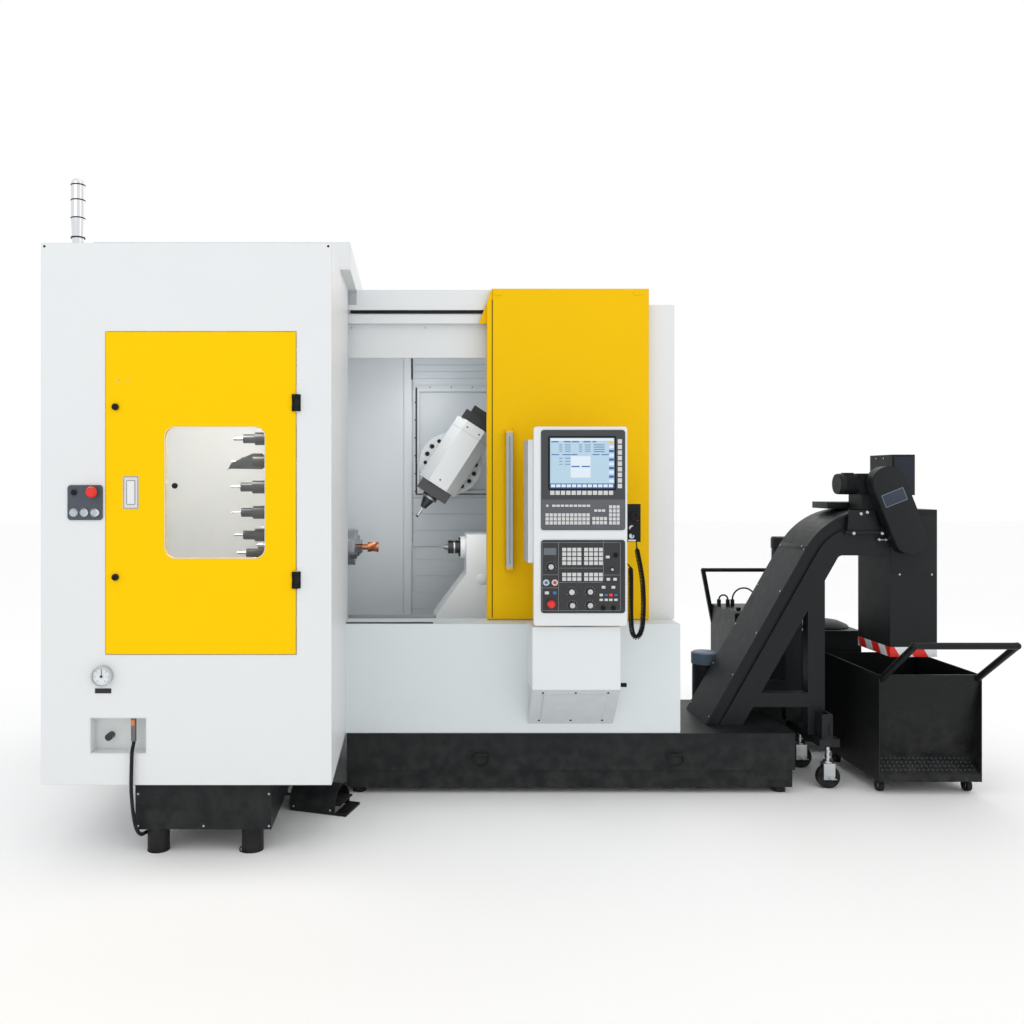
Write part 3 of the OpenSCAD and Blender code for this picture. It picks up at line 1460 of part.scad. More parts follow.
module conveyor_drive() place() color("black") {
    front_profile(guard_y, conv_y - guard_y,
        obround([guard_x, guard_z], [guard_low_x, guard_low_z], guard_r));
    xcyl(motor_r, motor_x, motor_x + motor_l, motor_y, motor_z);
    box([motor_x + motor_l, motor_y - gear_w / 2, motor_z - gear_w / 2],
        [motor_x + motor_l + gear_l, motor_y + gear_w / 2, motor_z + gear_w / 2]);
    box([motor_x + motor_l, motor_y - gear_foot, conv_top],
        [motor_x + motor_l + gear_foot, motor_y + gear_foot, motor_z - gear_w / 2]);
    xcyl(motor_r * mid_share, motor_x + motor_l + gear_l, guard_x, motor_y, motor_z);
    ycyl(motor_r * collar_share, guard_x, conv_y, motor_y, motor_z);
    box([cbox_x, cbox_y, cbox_z], [cbox_x + cbox_w, cbox_y + cbox_d, cbox_z + cbox_h]);
    box([cbox_x + chute_t, cbox_y + chute_t, conv_top], [cbox_x + cbox_foot, cbox_y + cbox_foot, cbox_z]);
    xcyl(switch_r, cbox_x + cbox_w, cbox_x + cbox_w + switch_t, cbox_y + cbox_d / 2, cbox_z + cbox_h / 2);
}

module stand_casters() place() color("silver") for (s = yoke_y_shares) {
    y = caster_y(s);
    top = 2 * stand_wheel_r + 2 * yoke_t;
    half = stand_wheel_w / 2 + yoke_t / 2;
    zcyl(yoke_stem_r, yoke_x, y, top, post_base - shoe_h);
    box([yoke_x - stand_wheel_r * mid_share, y - half - yoke_t, top - yoke_t],
        [yoke_x + stand_wheel_r * mid_share, y + half + yoke_t, top]);
    for (side = [y - half - yoke_t, y + half]) difference() {
        box([yoke_x - stand_wheel_r * mid_share, side, stand_wheel_r - 2 * axle_r],
            [yoke_x + stand_wheel_r * mid_share, side + yoke_t, top - yoke_t]);
        ycyl(axle_r + run_gap, yoke_x, side - over, side + yoke_t + over, stand_wheel_r);
    }
}
function caster_y(s) = conv_y - shoe_out + s * (conv_d + shoe_out);

module stand_wheels() place() color("black") for (s = yoke_y_shares) {
    y = caster_y(s);
    half = stand_wheel_w / 2;
    ycyl(stand_wheel_r, yoke_x, y - half, y + half, stand_wheel_r);
    ycyl(axle_r, yoke_x, y - half - 2 * yoke_t, y + half + 2 * yoke_t, stand_wheel_r);
}

// Round bar between two points
module rod(p, q, r) {
    v = q - p;
    translate(p) rotate([0, acos(v.z / norm(v)), atan2(v.y, v.x)]) cylinder(r = r, h = norm(v));
}

cart_axles_y = [cart_y + cart_axle_in, cart_y + cart_d - cart_axle_in];
cart_wheels_x = [cart_x0 + cart_wheel_in + cart_wheel_w / 2,
    cart_x0 + cart_w - cart_wheel_in - cart_wheel_w / 2];

module cart_tub() place() color("black") {
    x1 = cart_x0 + cart_w;
    y1 = cart_y + cart_d;
    floor_z = cart_base + cart_floor_t;
    for (x = [cart_x0, x1 - cart_t]) box([x, cart_y, cart_base], [x + cart_t, y1, cart_rim]);
    box([cart_x0 + cart_t, y1 - cart_t, cart_base], [x1 - cart_t, y1, cart_rim]);
    box([cart_x0 + cart_t, cart_y, cart_base], [x1 - cart_t, y1 - cart_t, floor_z]);
    front = [[cart_y, floor_z], [cart_y, floor_z + cart_lip_h], [cart_y + cart_tread_d, cart_tread_z],
        [cart_y, cart_rim]];
    side_profile(cart_x0 + cart_t, cart_w - 2 * cart_t,
        concat(front, reversed([for (p = front) p + [2 * cart_t, 0]])));
    for (x = cart_wheels_x, y = cart_axles_y) cart_fork(x, y);
    for (x = [cart_x0 + grip_in, x1 - grip_in]) {
        rod([x, cart_y + 3 * grip_r, cart_rim - 3 * grip_r], [x, grip_y, grip_z], grip_r);
        translate([x, grip_y, grip_z]) sphere(grip_r * elbow_share);
    }
    xcyl(grip_r, cart_x0 + grip_in, x1 - grip_in, grip_y, grip_z);
}

module cart_fork(x, y) {
    half = cart_wheel_w / 2 + cart_fork_t / 2;
    for (side = [x - half - cart_fork_t, x + half]) difference() {
        box([side, y - 2 * cart_axle_r, cart_wheel_r - 2 * cart_axle_r],
            [side + cart_fork_t, y + 2 * cart_axle_r, cart_base]);
        xcyl(cart_axle_r + run_gap, side - over, side + cart_fork_t + over, y, cart_wheel_r);
    }
}

module cart_wheels(y) {
    half = cart_wheel_w / 2;
    for (x = cart_wheels_x) {
        xcyl(cart_wheel_r, x - half, x + half, y, cart_wheel_r);
        xcyl(cart_axle_r, x - half - 2 * cart_fork_t, x + half + 2 * cart_fork_t, y, cart_wheel_r);
    }
}

module cart_wheels_front() place() color("dimgray") cart_wheels(cart_axles_y[0]);
module cart_wheels_rear() place() color("dimgray") cart_wheels(cart_axles_y[1]);

module coolant_unit() place() color("darkslategray") {
    x1 = tank_x + tank_l;
    y1 = tank_y + tank_d;
    rail_y = y1 - arm_t;
    box([tank_x, tank_y, tank_base], [x1, y1, tank_low_z]);
    box([tank_x, tank_y, tank_low_z], [tank_x + tank_l * tank_step_share, y1, tank_top]);
    for (x = [tank_x + tank_foot_in, x1 - tank_foot_in], y = [tank_y + tank_foot_in, y1 - tank_foot_in])
        zcyl(tank_foot_r, x, y, 0, tank_base);
    zcyl(motor_tank_r, motor_tank_x, motor_tank_y + motor_tank_r, tank_low_z, tank_low_z + motor_tank_h);
    for (h = hose_arcs) let (x = tank_x + h[0] * tank_l, y = tank_y + hose_y_off, z = tank_top + plug_h) {
        for (side = [-h[1], h[1]]) zcyl(plug_r, x + side, y, tank_top, z);
        sweep([for (i = [0:arc_steps]) let (a = 180 * i / arc_steps)
            [x - h[1] * cos(a), y, z + h[1] * sin(a)]], [for (i = [0:arc_steps]) hose_r], 10);
    }
    rod([rail_x, rail_y, rail_z], [rail_x + rail_l, rail_y, rail_z], rail_r);
    for (x = [rail_x, rail_x + rail_l]) translate([x, rail_y, rail_z]) sphere(rail_r * elbow_share);
    zcyl(rail_r, rail_x + rail_l, rail_y, tank_low_z, rail_z);
    front_profile(rail_y - arm_t, 2 * arm_t, [[rail_x - rail_r, rail_z], [rail_x + rail_r, rail_z],
        [tank_x, tank_top], [tank_x, bracket_z]]);
    zcyl(tray_pump_r, tray_pump_x, tray_pump_y, cab_base, cab_base + tray_pump_h);
    zcyl(cap_r, tray_pump_x, tray_pump_y, cab_base + tray_pump_h, cab_base + tray_pump_h + cap_h);
}

machine_bed();
levelling_feet();
coolant_tray();
tray_rings();
base_apron();
operator_box();
upper_enclosure();
work_liner();
main_door();
door_handle();
left_cabinet();
cabinet_pedestal();
stack_light();
cabinet_station();
station_estop();
pressure_gauge();
gauge_needle();
air_unit();
air_hose();
cabinet_hinges();
magazine_door();
magazine_window();
flush_paddle();
latch_upper();
latch_lower();
magazine_disc();
magazine_tools();
headstock();
spindle_chuck();
jaw_a();
jaw_b();
jaw_c();
workpiece();
saddle_frame();
carriage();
tool_head();
head_covers();
tool_spindle();
tailstock();
tailstock_quill();
live_centre();
panel_housing();
panel_faces();
panel_screen();
panel_keys();
panel_estop();
override_knob();
pendant();
pendant_cord();
foot_switch();
foot_treadle();
chip_conveyor();
discharge_chute();
conveyor_drive();
stand_casters();
stand_wheels();
cart_tub();
cart_wheels_front();
cart_wheels_rear();
coolant_unit();
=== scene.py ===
"""Looks of the CNC turning lathe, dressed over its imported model."""

import logging
import math
from dataclasses import dataclass
from enum import Enum
from functools import partial
from typing import Any, Iterable, Optional, Sequence, Union

import bmesh
import bpy
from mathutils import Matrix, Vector


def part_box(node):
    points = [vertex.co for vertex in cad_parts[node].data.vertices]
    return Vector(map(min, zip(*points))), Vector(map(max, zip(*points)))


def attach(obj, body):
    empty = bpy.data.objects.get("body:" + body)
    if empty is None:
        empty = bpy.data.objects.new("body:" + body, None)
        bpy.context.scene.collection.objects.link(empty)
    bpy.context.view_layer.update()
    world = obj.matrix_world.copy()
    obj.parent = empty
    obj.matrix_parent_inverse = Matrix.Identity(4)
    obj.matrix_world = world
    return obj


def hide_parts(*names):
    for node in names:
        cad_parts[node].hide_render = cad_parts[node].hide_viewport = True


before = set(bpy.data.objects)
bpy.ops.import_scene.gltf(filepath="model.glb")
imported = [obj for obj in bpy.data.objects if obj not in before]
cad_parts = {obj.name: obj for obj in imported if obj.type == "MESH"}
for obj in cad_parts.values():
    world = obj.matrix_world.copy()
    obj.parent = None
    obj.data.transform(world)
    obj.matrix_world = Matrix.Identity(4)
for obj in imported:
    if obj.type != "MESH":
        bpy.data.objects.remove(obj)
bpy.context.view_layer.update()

LOG = logging.getLogger("lathe")
Pair = tuple[float, float]
Point = tuple[float, float, float]
Quad = tuple[float, float, float, float]
Colour = tuple[float, float, float]
Value = Union["Socket", float, int]
DATUM: Point = (640.5, 1076.0, 0.0)
DUST_TOP = 0.5  # Metres over the floor up to which dust gathers.
SCUFF_CELLS: Point = (31.0, 47.0, 140.0)  # Cells of the scuffs in a metre.
SOIL_GAIN = 0.62  # Brightness of soiled paint.
DARK_SOIL = (0.09, 0.087, 0.08, 1.0)  # Dust on dark paint.
DARK_LIMIT = 0.2  # Under this level a colour is dark.
DRIFT_CELLS = 2.3  # Cells in a metre of the slow drift of colour.
CLOUD_CELLS = 19.0  # Cells in a metre of the changes in gloss.
GLOSS_SPREAD = 0.16  # Roughness between the dullest and the glossiest cell.
MARK_ROUGH = 0.12  # Roughness that marks add.
GRAIN_STRENGTH = 0.35  # Share of the bump that shows.
UPRIGHT = 0.9  # A direction that rises by more than this is upright.
SHARP_EDGE = 0.6  # Angle in radians over which an edge is broken.
SMOOTH_EDGE = math.radians(38.0)  # Angle under which an edge looks round.


def at(x: float, y: float, z: float) -> Vector:
    """Turns a place in the source's millimetres into metres in the part's frame.

    Args:
        x: Millimetres to the right of the enclosure's datum.
        y: Millimetres behind the cabinet's front.
        z: Millimetres above the floor.

    Returns:
        The place in metres.
    """
    return Vector(((x - DATUM[0]) / 1000, (y - DATUM[1]) / 1000, z / 1000))


def mm(length: float) -> float:
    """Millimetres as metres."""
    return length / 1000


class Axis(Enum):
    """A direction of the part's frame."""

    X = (1.0, 0.0, 0.0)
    Y = (0.0, 1.0, 0.0)
    Z = (0.0, 0.0, 1.0)
    FRONT = (0.0, -1.0, 0.0)
    LEFT = (-1.0, 0.0, 0.0)


class Grain(Enum):
    """How a finish is worked."""

    PEEL = "powder coat's orange peel"
    MOULDED = "fine moulded grain"
    CAST = "coarse sand-cast skin"
    BRUSHED_X = "lines along X"
    BRUSHED_Y = "lines along Y"
    BRUSHED_Z = "lines along Z"
    POLISHED = "no lines"


class Socket:
    """One value in a material's graph. Operators on it add the graph's nodes."""

    def __init__(self, graph: "Graph", socket: bpy.types.NodeSocket) -> None:
        """Keeps the graph and the output socket."""
        self.graph = graph
        self.socket = socket

    def _math(self, operation: str, *values: Value) -> "Socket":
        """Adds one Math node.

        Args:
            operation: Blender's name of the operation.
            values: What goes into its sockets, in order.

        Returns:
            The node's output.
        """
        return self.graph.node("ShaderNodeMath", {"operation": operation}, dict(enumerate(values)))

    def __add__(self, other: Value) -> "Socket":
        """Sum."""
        return self._math("ADD", self, other)

    def __radd__(self, other: Value) -> "Socket":
        """Sum, number first."""
        return self._math("ADD", other, self)

    def __sub__(self, other: Value) -> "Socket":
        """Difference."""
        return self._math("SUBTRACT", self, other)

    def __rsub__(self, other: Value) -> "Socket":
        """Difference, number first."""
        return self._math("SUBTRACT", other, self)

    def __mul__(self, other: Value) -> "Socket":
        """Product."""
        return self._math("MULTIPLY", self, other)

    def __rmul__(self, other: Value) -> "Socket":
        """Product, number first."""
        return self._math("MULTIPLY", other, self)

    def __truediv__(self, other: Value) -> "Socket":
        """Quotient."""
        return self._math("DIVIDE", self, other)

    def __rtruediv__(self, other: Value) -> "Socket":
        """Quotient, number first."""
        return self._math("DIVIDE", other, self)

    def fract(self) -> "Socket":
        """The part after the decimal point."""
        return self._math("FRACT", self)

    def above(self, limit: Value) -> "Socket":
        """1 where the value is over the limit, otherwise 0."""
        return self._math("GREATER_THAN", self, limit)

    def clamp(self) -> "Socket":
        """The value held between 0 and 1."""
        return self.graph.node("ShaderNodeClamp", {}, {0: self})

    def ramp(self, low: float, high: float) -> "Socket":
        """Rises from 0 at low to 1 at high, held outside."""
        return ((self - low) / (high - low)).clamp()


class Graph:
    """A material's node graph around one Principled shader."""

    def __init__(self, name: str) -> None:
        """Starts a material.

        Args:
            name: The material's name.
        """
        self.material = bpy.data.materials.new(name)
        self.material.use_nodes = True
        self.nodes = self.material.node_tree.nodes
        self.links = self.material.node_tree.links
        self.nodes.clear()
        self.shader = self.nodes.new("ShaderNodeBsdfPrincipled")
        output = self.nodes.new("ShaderNodeOutputMaterial")
        self.links.new(self.shader.outputs[0], output.inputs["Surface"])

    def put(self, target: bpy.types.NodeSocket, value: Any) -> None:
        """Links a socket or sets its value.

        Args:
            target: The input socket.
            value: A Socket, or a number, colour or vector.
        """
        if isinstance(value, Socket):
            self.links.new(value.socket, target)
        else:
            target.default_value = value

    def node(self, kind: str, settings: dict[str, Any], inputs: dict[Any, Any], out: Any = 0) -> Socket:
        """Adds any node.

        Args:
            kind: Blender's type name of the node.
            settings: Attributes that are set first.
            inputs: Values or links by socket name or number.
            out: Name or number of the output.

        Returns:
            The node's output.
        """
        added = self.nodes.new(kind)
        for key, value in settings.items():
            setattr(added, key, value)
        for key, value in inputs.items():
            self.put(added.inputs[key], value)
        return Socket(self, added.outputs[out])

    def set(self, **values: Any) -> None:
        """Sets or links the Principled shader's sockets, named with _ for a space."""
        for key, value in values.items():
            self.put(self.shader.inputs[key.replace("_", " ")], value)

    def place(self) -> Socket:
        """Coordinates in metres that stay with the piece."""
        return self.node("ShaderNodeTexCoord", {}, {}, "Object")

    def scaled(self, vector: Socket, scale: Point) -> Socket:
        """Coordinates stretched along the axes."""
        return self.node("ShaderNodeVectorMath", {"operation": "MULTIPLY"}, {0: vector, 1: scale})

    def noise(self, vector: Socket, scale: float, detail: float = 2.0) -> Socket:
        """Smooth noise from 0 to 1.

        Args:
            vector: Coordinates.
            scale: Cells in a metre.
            detail: Octaves.

        Returns:
            The noise value.
        """
        return self.node("ShaderNodeTexNoise", {}, {"Vector": vector, "Scale": scale, "Detail": detail}, "Fac")

    def mix(self, factor: Value, first: Any, second: Any) -> Socket:
        """Colour between two colours.

        Args:
            factor: 0 gives the first, 1 the second.
            first: Colour or socket.
            second: Colour or socket.

        Returns:
            The mixed colour.
        """
        return self.node("ShaderNodeMix", {"data_type": "RGBA"}, {0: factor, 6: first, 7: second}, 2)

    def bump(self, height: Socket, strength: float, depth: float, rounding: float = 0.0) -> None:
        """Feeds the shader's normal from a height.

        Args:
            height: Height from 0 to 1.
            strength: Share of the bump.
            depth: Depth in metres of a height of 1.
            rounding: Radius in metres by which edges look broken.
        """
        inputs: dict[Any, Any] = {"Height": height, "Strength": strength, "Distance": depth}
        if rounding > 0:
            inputs["Normal"] = self.node("ShaderNodeBevel", {"samples": 3}, {"Radius": rounding})
        self.set(Normal=self.node("ShaderNodeBump", {}, inputs))


def linear(red: int, green: int, blue: int) -> Colour:
    """A colour given in display values from 0 to 255, as linear light.

    Args:
        red: Display red.
        green: Display green.
        blue: Display blue.

    Returns:
        Linear red, green and blue.
    """
    def one(value: int) -> float:
        """One channel."""
        share = value / 255
        return share / 12.92 if share <= 0.04045 else ((share + 0.055) / 1.055) ** 2.4
    return one(red), one(green), one(blue)


def shaded(colour: Colour, gain: float) -> Quad:
    """A colour made darker or lighter, with an alpha of 1."""
    return colour[0] * gain, colour[1] * gain, colour[2] * gain, 1.0


@dataclass(frozen=True)
class Finish:
    """A surface: its colour, gloss and the marks of how it was worked.

    Attributes:
        name: Material name.
        colour: Linear colour.
        rough: Mean roughness.
        grain: How it is worked.
        metal: 1 for bare metal.
        coat: Weight of a clear gloss coat.
        depth: Depth of the grain in metres.
        drift: Share by which the colour drifts over a metre.
        grime: Weight of the dust that gathers near the floor.
        edge: Radius in metres by which edges look broken.
        wear: Weight of scuffs.
        shine: Specular level of the skin.
        slot: A material slot's name for pieces with this finish; not used.
    """

    name: str
    colour: Colour
    rough: float = 0.45
    grain: Grain = Grain.PEEL
    metal: float = 0.0
    coat: float = 0.0
    depth: float = 0.0002
    drift: float = 0.05
    grime: float = 0.25
    edge: float = 0.002
    wear: float = 0.15
    shine: float = 0.5
    slot: str = ""

    def build(self) -> bpy.types.Material:
        """Makes the material, or finds it again.

        Returns:
            The material, made once for each name.
        """
        known = bpy.data.materials.get(self.name)
        if known:
            return known
        graph = Graph(self.name)
        self._fill(graph)
        return graph.material

    def _fill(self, graph: Graph) -> None:
        """Adds the look's nodes.

        Args:
            graph: The new material's graph.
        """
        place = graph.place()
        broad = graph.noise(place, DRIFT_CELLS, 3.0)
        cloud = graph.noise(place, CLOUD_CELLS, 4.0)
        tone = graph.mix(broad, shaded(self.colour, 1 - self.drift), shaded(self.colour, 1 + self.drift))
        height = graph.node("ShaderNodeSeparateXYZ", {}, {0: place}, "Z")
        low = (DUST_TOP - height).ramp(0.0, DUST_TOP)
        dust = (low * cloud.ramp(0.35, 0.75) * self.grime).clamp()
        scuff = graph.noise(graph.scaled(place, SCUFF_CELLS), 1.0, 5.0).ramp(0.66, 0.72)
        marks = (dust + scuff * self.wear).clamp()
        soil = shaded(self.colour, SOIL_GAIN) if max(self.colour) > DARK_LIMIT else DARK_SOIL
        rough = (cloud - 0.5) * GLOSS_SPREAD + self.rough + marks * MARK_ROUGH
        graph.set(Base_Color=graph.mix(marks, tone, soil), Roughness=rough.clamp(), Metallic=self.metal,
                  Specular_IOR_Level=self.shine)
        if self.coat > 0:
            graph.set(Coat_Weight=self.coat, Coat_Roughness=0.12)
        graph.bump(self._relief(graph, place), GRAIN_STRENGTH, self.depth, self.edge)

    def _relief(self, graph: Graph, place: Socket) -> Socket:
        """The height field of the grain.

        Args:
            graph: The material's graph.
            place: Coordinates in metres.

        Returns:
            Height from 0 to 1.
        """
        along = {Grain.BRUSHED_X: (12.0, 900.0, 900.0), Grain.BRUSHED_Y: (900.0, 12.0, 900.0),
                 Grain.BRUSHED_Z: (900.0, 900.0, 12.0)}
        if self.grain in along:
            return graph.noise(graph.scaled(place, along[self.grain]), 1.0, 3.0)
        scale = {Grain.PEEL: 420.0, Grain.MOULDED: 1100.0, Grain.CAST: 160.0, Grain.POLISHED: 60.0}[self.grain]
        return graph.noise(place, scale, 3.0)


@dataclass(frozen=True)
class Zone:
    """A box of a node that has its own colour and gloss.

    Attributes:
        low: Lowest corner in the source's millimetres.
        high: Highest corner.
        colour: Linear colour.
        rough: Roughness.
        metal: 1 for bare metal.
    """

    low: Point
    high: Point
    colour: Colour
    rough: float = 0.4
    metal: float = 0.0

    def mask(self, graph: Graph, place: Socket) -> Socket:
        """1 inside the box, otherwise 0.

        Args:
            graph: The material's graph.
            place: Coordinates in metres.

        Returns:
            The mask.
        """
        low, high = at(*self.low), at(*self.high)
        mask: Optional[Socket] = None
        for index, name in enumerate("XYZ"):
            part = graph.node("ShaderNodeSeparateXYZ", {}, {0: place}, name)
            inside = part.above(low[index]) * (1 - part.above(high[index]))
            mask = inside if mask is None else mask * inside
        return mask


@dataclass(frozen=True)
class ZonedFinish(Finish):
    """A finish whose boxes differ, for a node made of several materials.

    Attributes:
        zones: The boxes, later ones over earlier ones.
    """

    zones: tuple[Zone, ...] = ()

    def _fill(self, graph: Graph) -> None:
        """Lays the zones over the plain finish.

        Args:
            graph: The new material's graph.
        """
        super()._fill(graph)
        place = graph.place()
        sockets = graph.shader.inputs
        colour = Socket(graph, sockets["Base Color"].links[0].from_socket)
        rough = Socket(graph, sockets["Roughness"].links[0].from_socket)
        metal: Value = self.metal
        for zone in self.zones:
            mask = zone.mask(graph, place)
            cloud = graph.noise(place, 23.0, 3.0)
            tone = graph.mix(cloud, shaded(zone.colour, 0.92), shaded(zone.colour, 1.08))
            colour = graph.mix(mask, colour, tone)
            rough = rough * (1 - mask) + mask * zone.rough
            metal = (1 - mask) * metal + mask * zone.metal
        graph.set(Base_Color=colour, Roughness=rough, Metallic=metal)


@dataclass(frozen=True)
class Pane(Finish):
    """Clear glazing with a faint tint and a few wipe marks.

    Attributes:
        alpha: Opacity of the clean pane.
    """

    alpha: float = 0.16

    def _fill(self, graph: Graph) -> None:
        """Adds the see-through look's nodes.

        Args:
            graph: The new material's graph.
        """
        smear = graph.noise(graph.scaled(graph.place(), (9.0, 9.0, 3.0)), 1.0, 4.0)
        graph.set(Base_Color=shaded(self.colour, 1.0), Roughness=smear * 0.05 + self.rough,
                  Alpha=smear.ramp(0.45, 0.8) * 0.02 + self.alpha)


@dataclass(frozen=True)
class Glow(Finish):
    """A lit surface, such as a display field or a lamp.

    Attributes:
        strength: Strength of the light.
    """

    strength: float = 0.6

    def _fill(self, graph: Graph) -> None:
        """Adds the lit look's nodes.

        Args:
            graph: The new material's graph.
        """
        cells = graph.noise(graph.scaled(graph.place(), (700.0, 700.0, 700.0)), 1.0, 1.0)
        tone = graph.mix(cells, shaded(self.colour, 0.94), shaded(self.colour, 1.04))
        graph.set(Base_Color=tone, Roughness=self.rough, Emission_Color=tone, Emission_Strength=self.strength)


@dataclass(frozen=True)
class Stripes(Finish):
    """Slanting bands of two colours, as on marking tape.

    Attributes:
        other: Linear colour of the second band.
        pitch: Distance between bands in metres.
    """

    other: Colour = (0.8, 0.8, 0.8)
    pitch: float = 0.05

    def _fill(self, graph: Graph) -> None:
        """Adds the bands' nodes.

        Args:
            graph: The new material's graph.
        """
        place = graph.place()
        x, y, z = (graph.node("ShaderNodeSeparateXYZ", {}, {0: place}, axis) for axis in "XYZ")
        band = ((x - y + z * 0.6) / self.pitch + 40.0).fract().above(0.52)
        scuff = graph.noise(place, 60.0, 4.0).ramp(0.62, 0.7) * 0.3
        tone = graph.mix(band, shaded(self.colour, 1.0), shaded(self.other, 1.0))
        graph.set(Base_Color=graph.mix(scuff, tone, shaded(self.colour, 0.5)), Roughness=scuff + self.rough)
        graph.bump(graph.noise(place, 500.0, 2.0), 0.2, self.depth)


@dataclass(frozen=True)
class Seat:
    """A place on the machine with its own directions, in the part's frame.

    Attributes:
        origin: Place in metres.
        right: Unit vector to the right on the face.
        up: Unit vector up on the face.
        out: Unit vector out of the face.
    """

    origin: Vector
    right: Vector
    up: Vector
    out: Vector

    @staticmethod
    def facing(out: Union[Axis, Vector], origin: Vector, up: Optional[Vector] = None) -> "Seat":
        """A seat whose face looks one way.

        Args:
            out: The way the face looks.
            origin: Place in metres.
            up: Rough up direction; straight up if left out, or backwards on a level face.

        Returns:
            The seat.
        """
        away = Vector(out.value) if isinstance(out, Axis) else out.normalized()
        rough_up = up or (Vector((0, 1, 0)) if abs(away.z) > UPRIGHT else Vector((0, 0, 1)))
        right = rough_up.cross(away).normalized()
        return Seat(origin, right, away.cross(right).normalized(), away)

    def to(self, u: float, v: float, w: float = 0.0) -> Vector:
        """A place in millimetres right, up and out from the seat, as metres in the frame."""
        return self.origin + self.right * mm(u) + self.up * mm(v) + self.out * mm(w)

    def moved(self, u: float, v: float, w: float = 0.0) -> "Seat":
        """The same seat further right, up and out, in millimetres."""
        return Seat(self.to(u, v, w), self.right, self.up, self.out)


def rounded(width: float, height: float, radius: float, steps: int = 5) -> list[Pair]:
    """Outline of a rectangle with round corners, round its centre.

    Args:
        width: Full width.
        height: Full height.
        radius: Corner radius.
        steps: Segments in a corner.

    Returns:
        Points counterclockwise.
    """
    points = []
    for quarter, (sx, sy) in enumerate(((1, 1), (-1, 1), (-1, -1), (1, -1))):
        for step in range(steps + 1):
            angle = math.radians(90 * quarter + 90 * step / steps)
            points.append((sx * (width / 2 - radius) + radius * math.cos(angle),
                           sy * (height / 2 - radius) + radius * math.sin(angle)))
    return points


def hexagon(across: float) -> list[Pair]:
    """Outline of a hexagon.

    Args:
        across: Radius to its corners.

    Returns:
        Points counterclockwise.
    """
    return [(across * math.cos(math.tau * k / 6), across * math.sin(math.tau * k / 6)) for k in range(6)]


def smooth_route(points: Sequence[Vector], steps: int) -> list[Vector]:
    """A rounded path through points.

    Args:
        points: Places to pass.
        steps: Segments between two places.

    Returns:
        The path's points.
    """
    path = []
    last = len(points) - 1
    for i in range(last):
        a, b = points[max(i - 1, 0)], points[i]
        c, d = points[i + 1], points[min(i + 2, last)]
        for step in range(steps):
            t = step / steps
            path.append(0.5 * (2 * b + (c - a) * t + (2 * a - 5 * b + 4 * c - d) * t * t
                               + (3 * b - a - 3 * c + d) * t ** 3))
    path.append(points[last].copy())
    return path


def path_length(points: Sequence[Vector]) -> float:
    """Length of a chain of points."""
    return sum((b - a).length for a, b in zip(points, points[1:]))


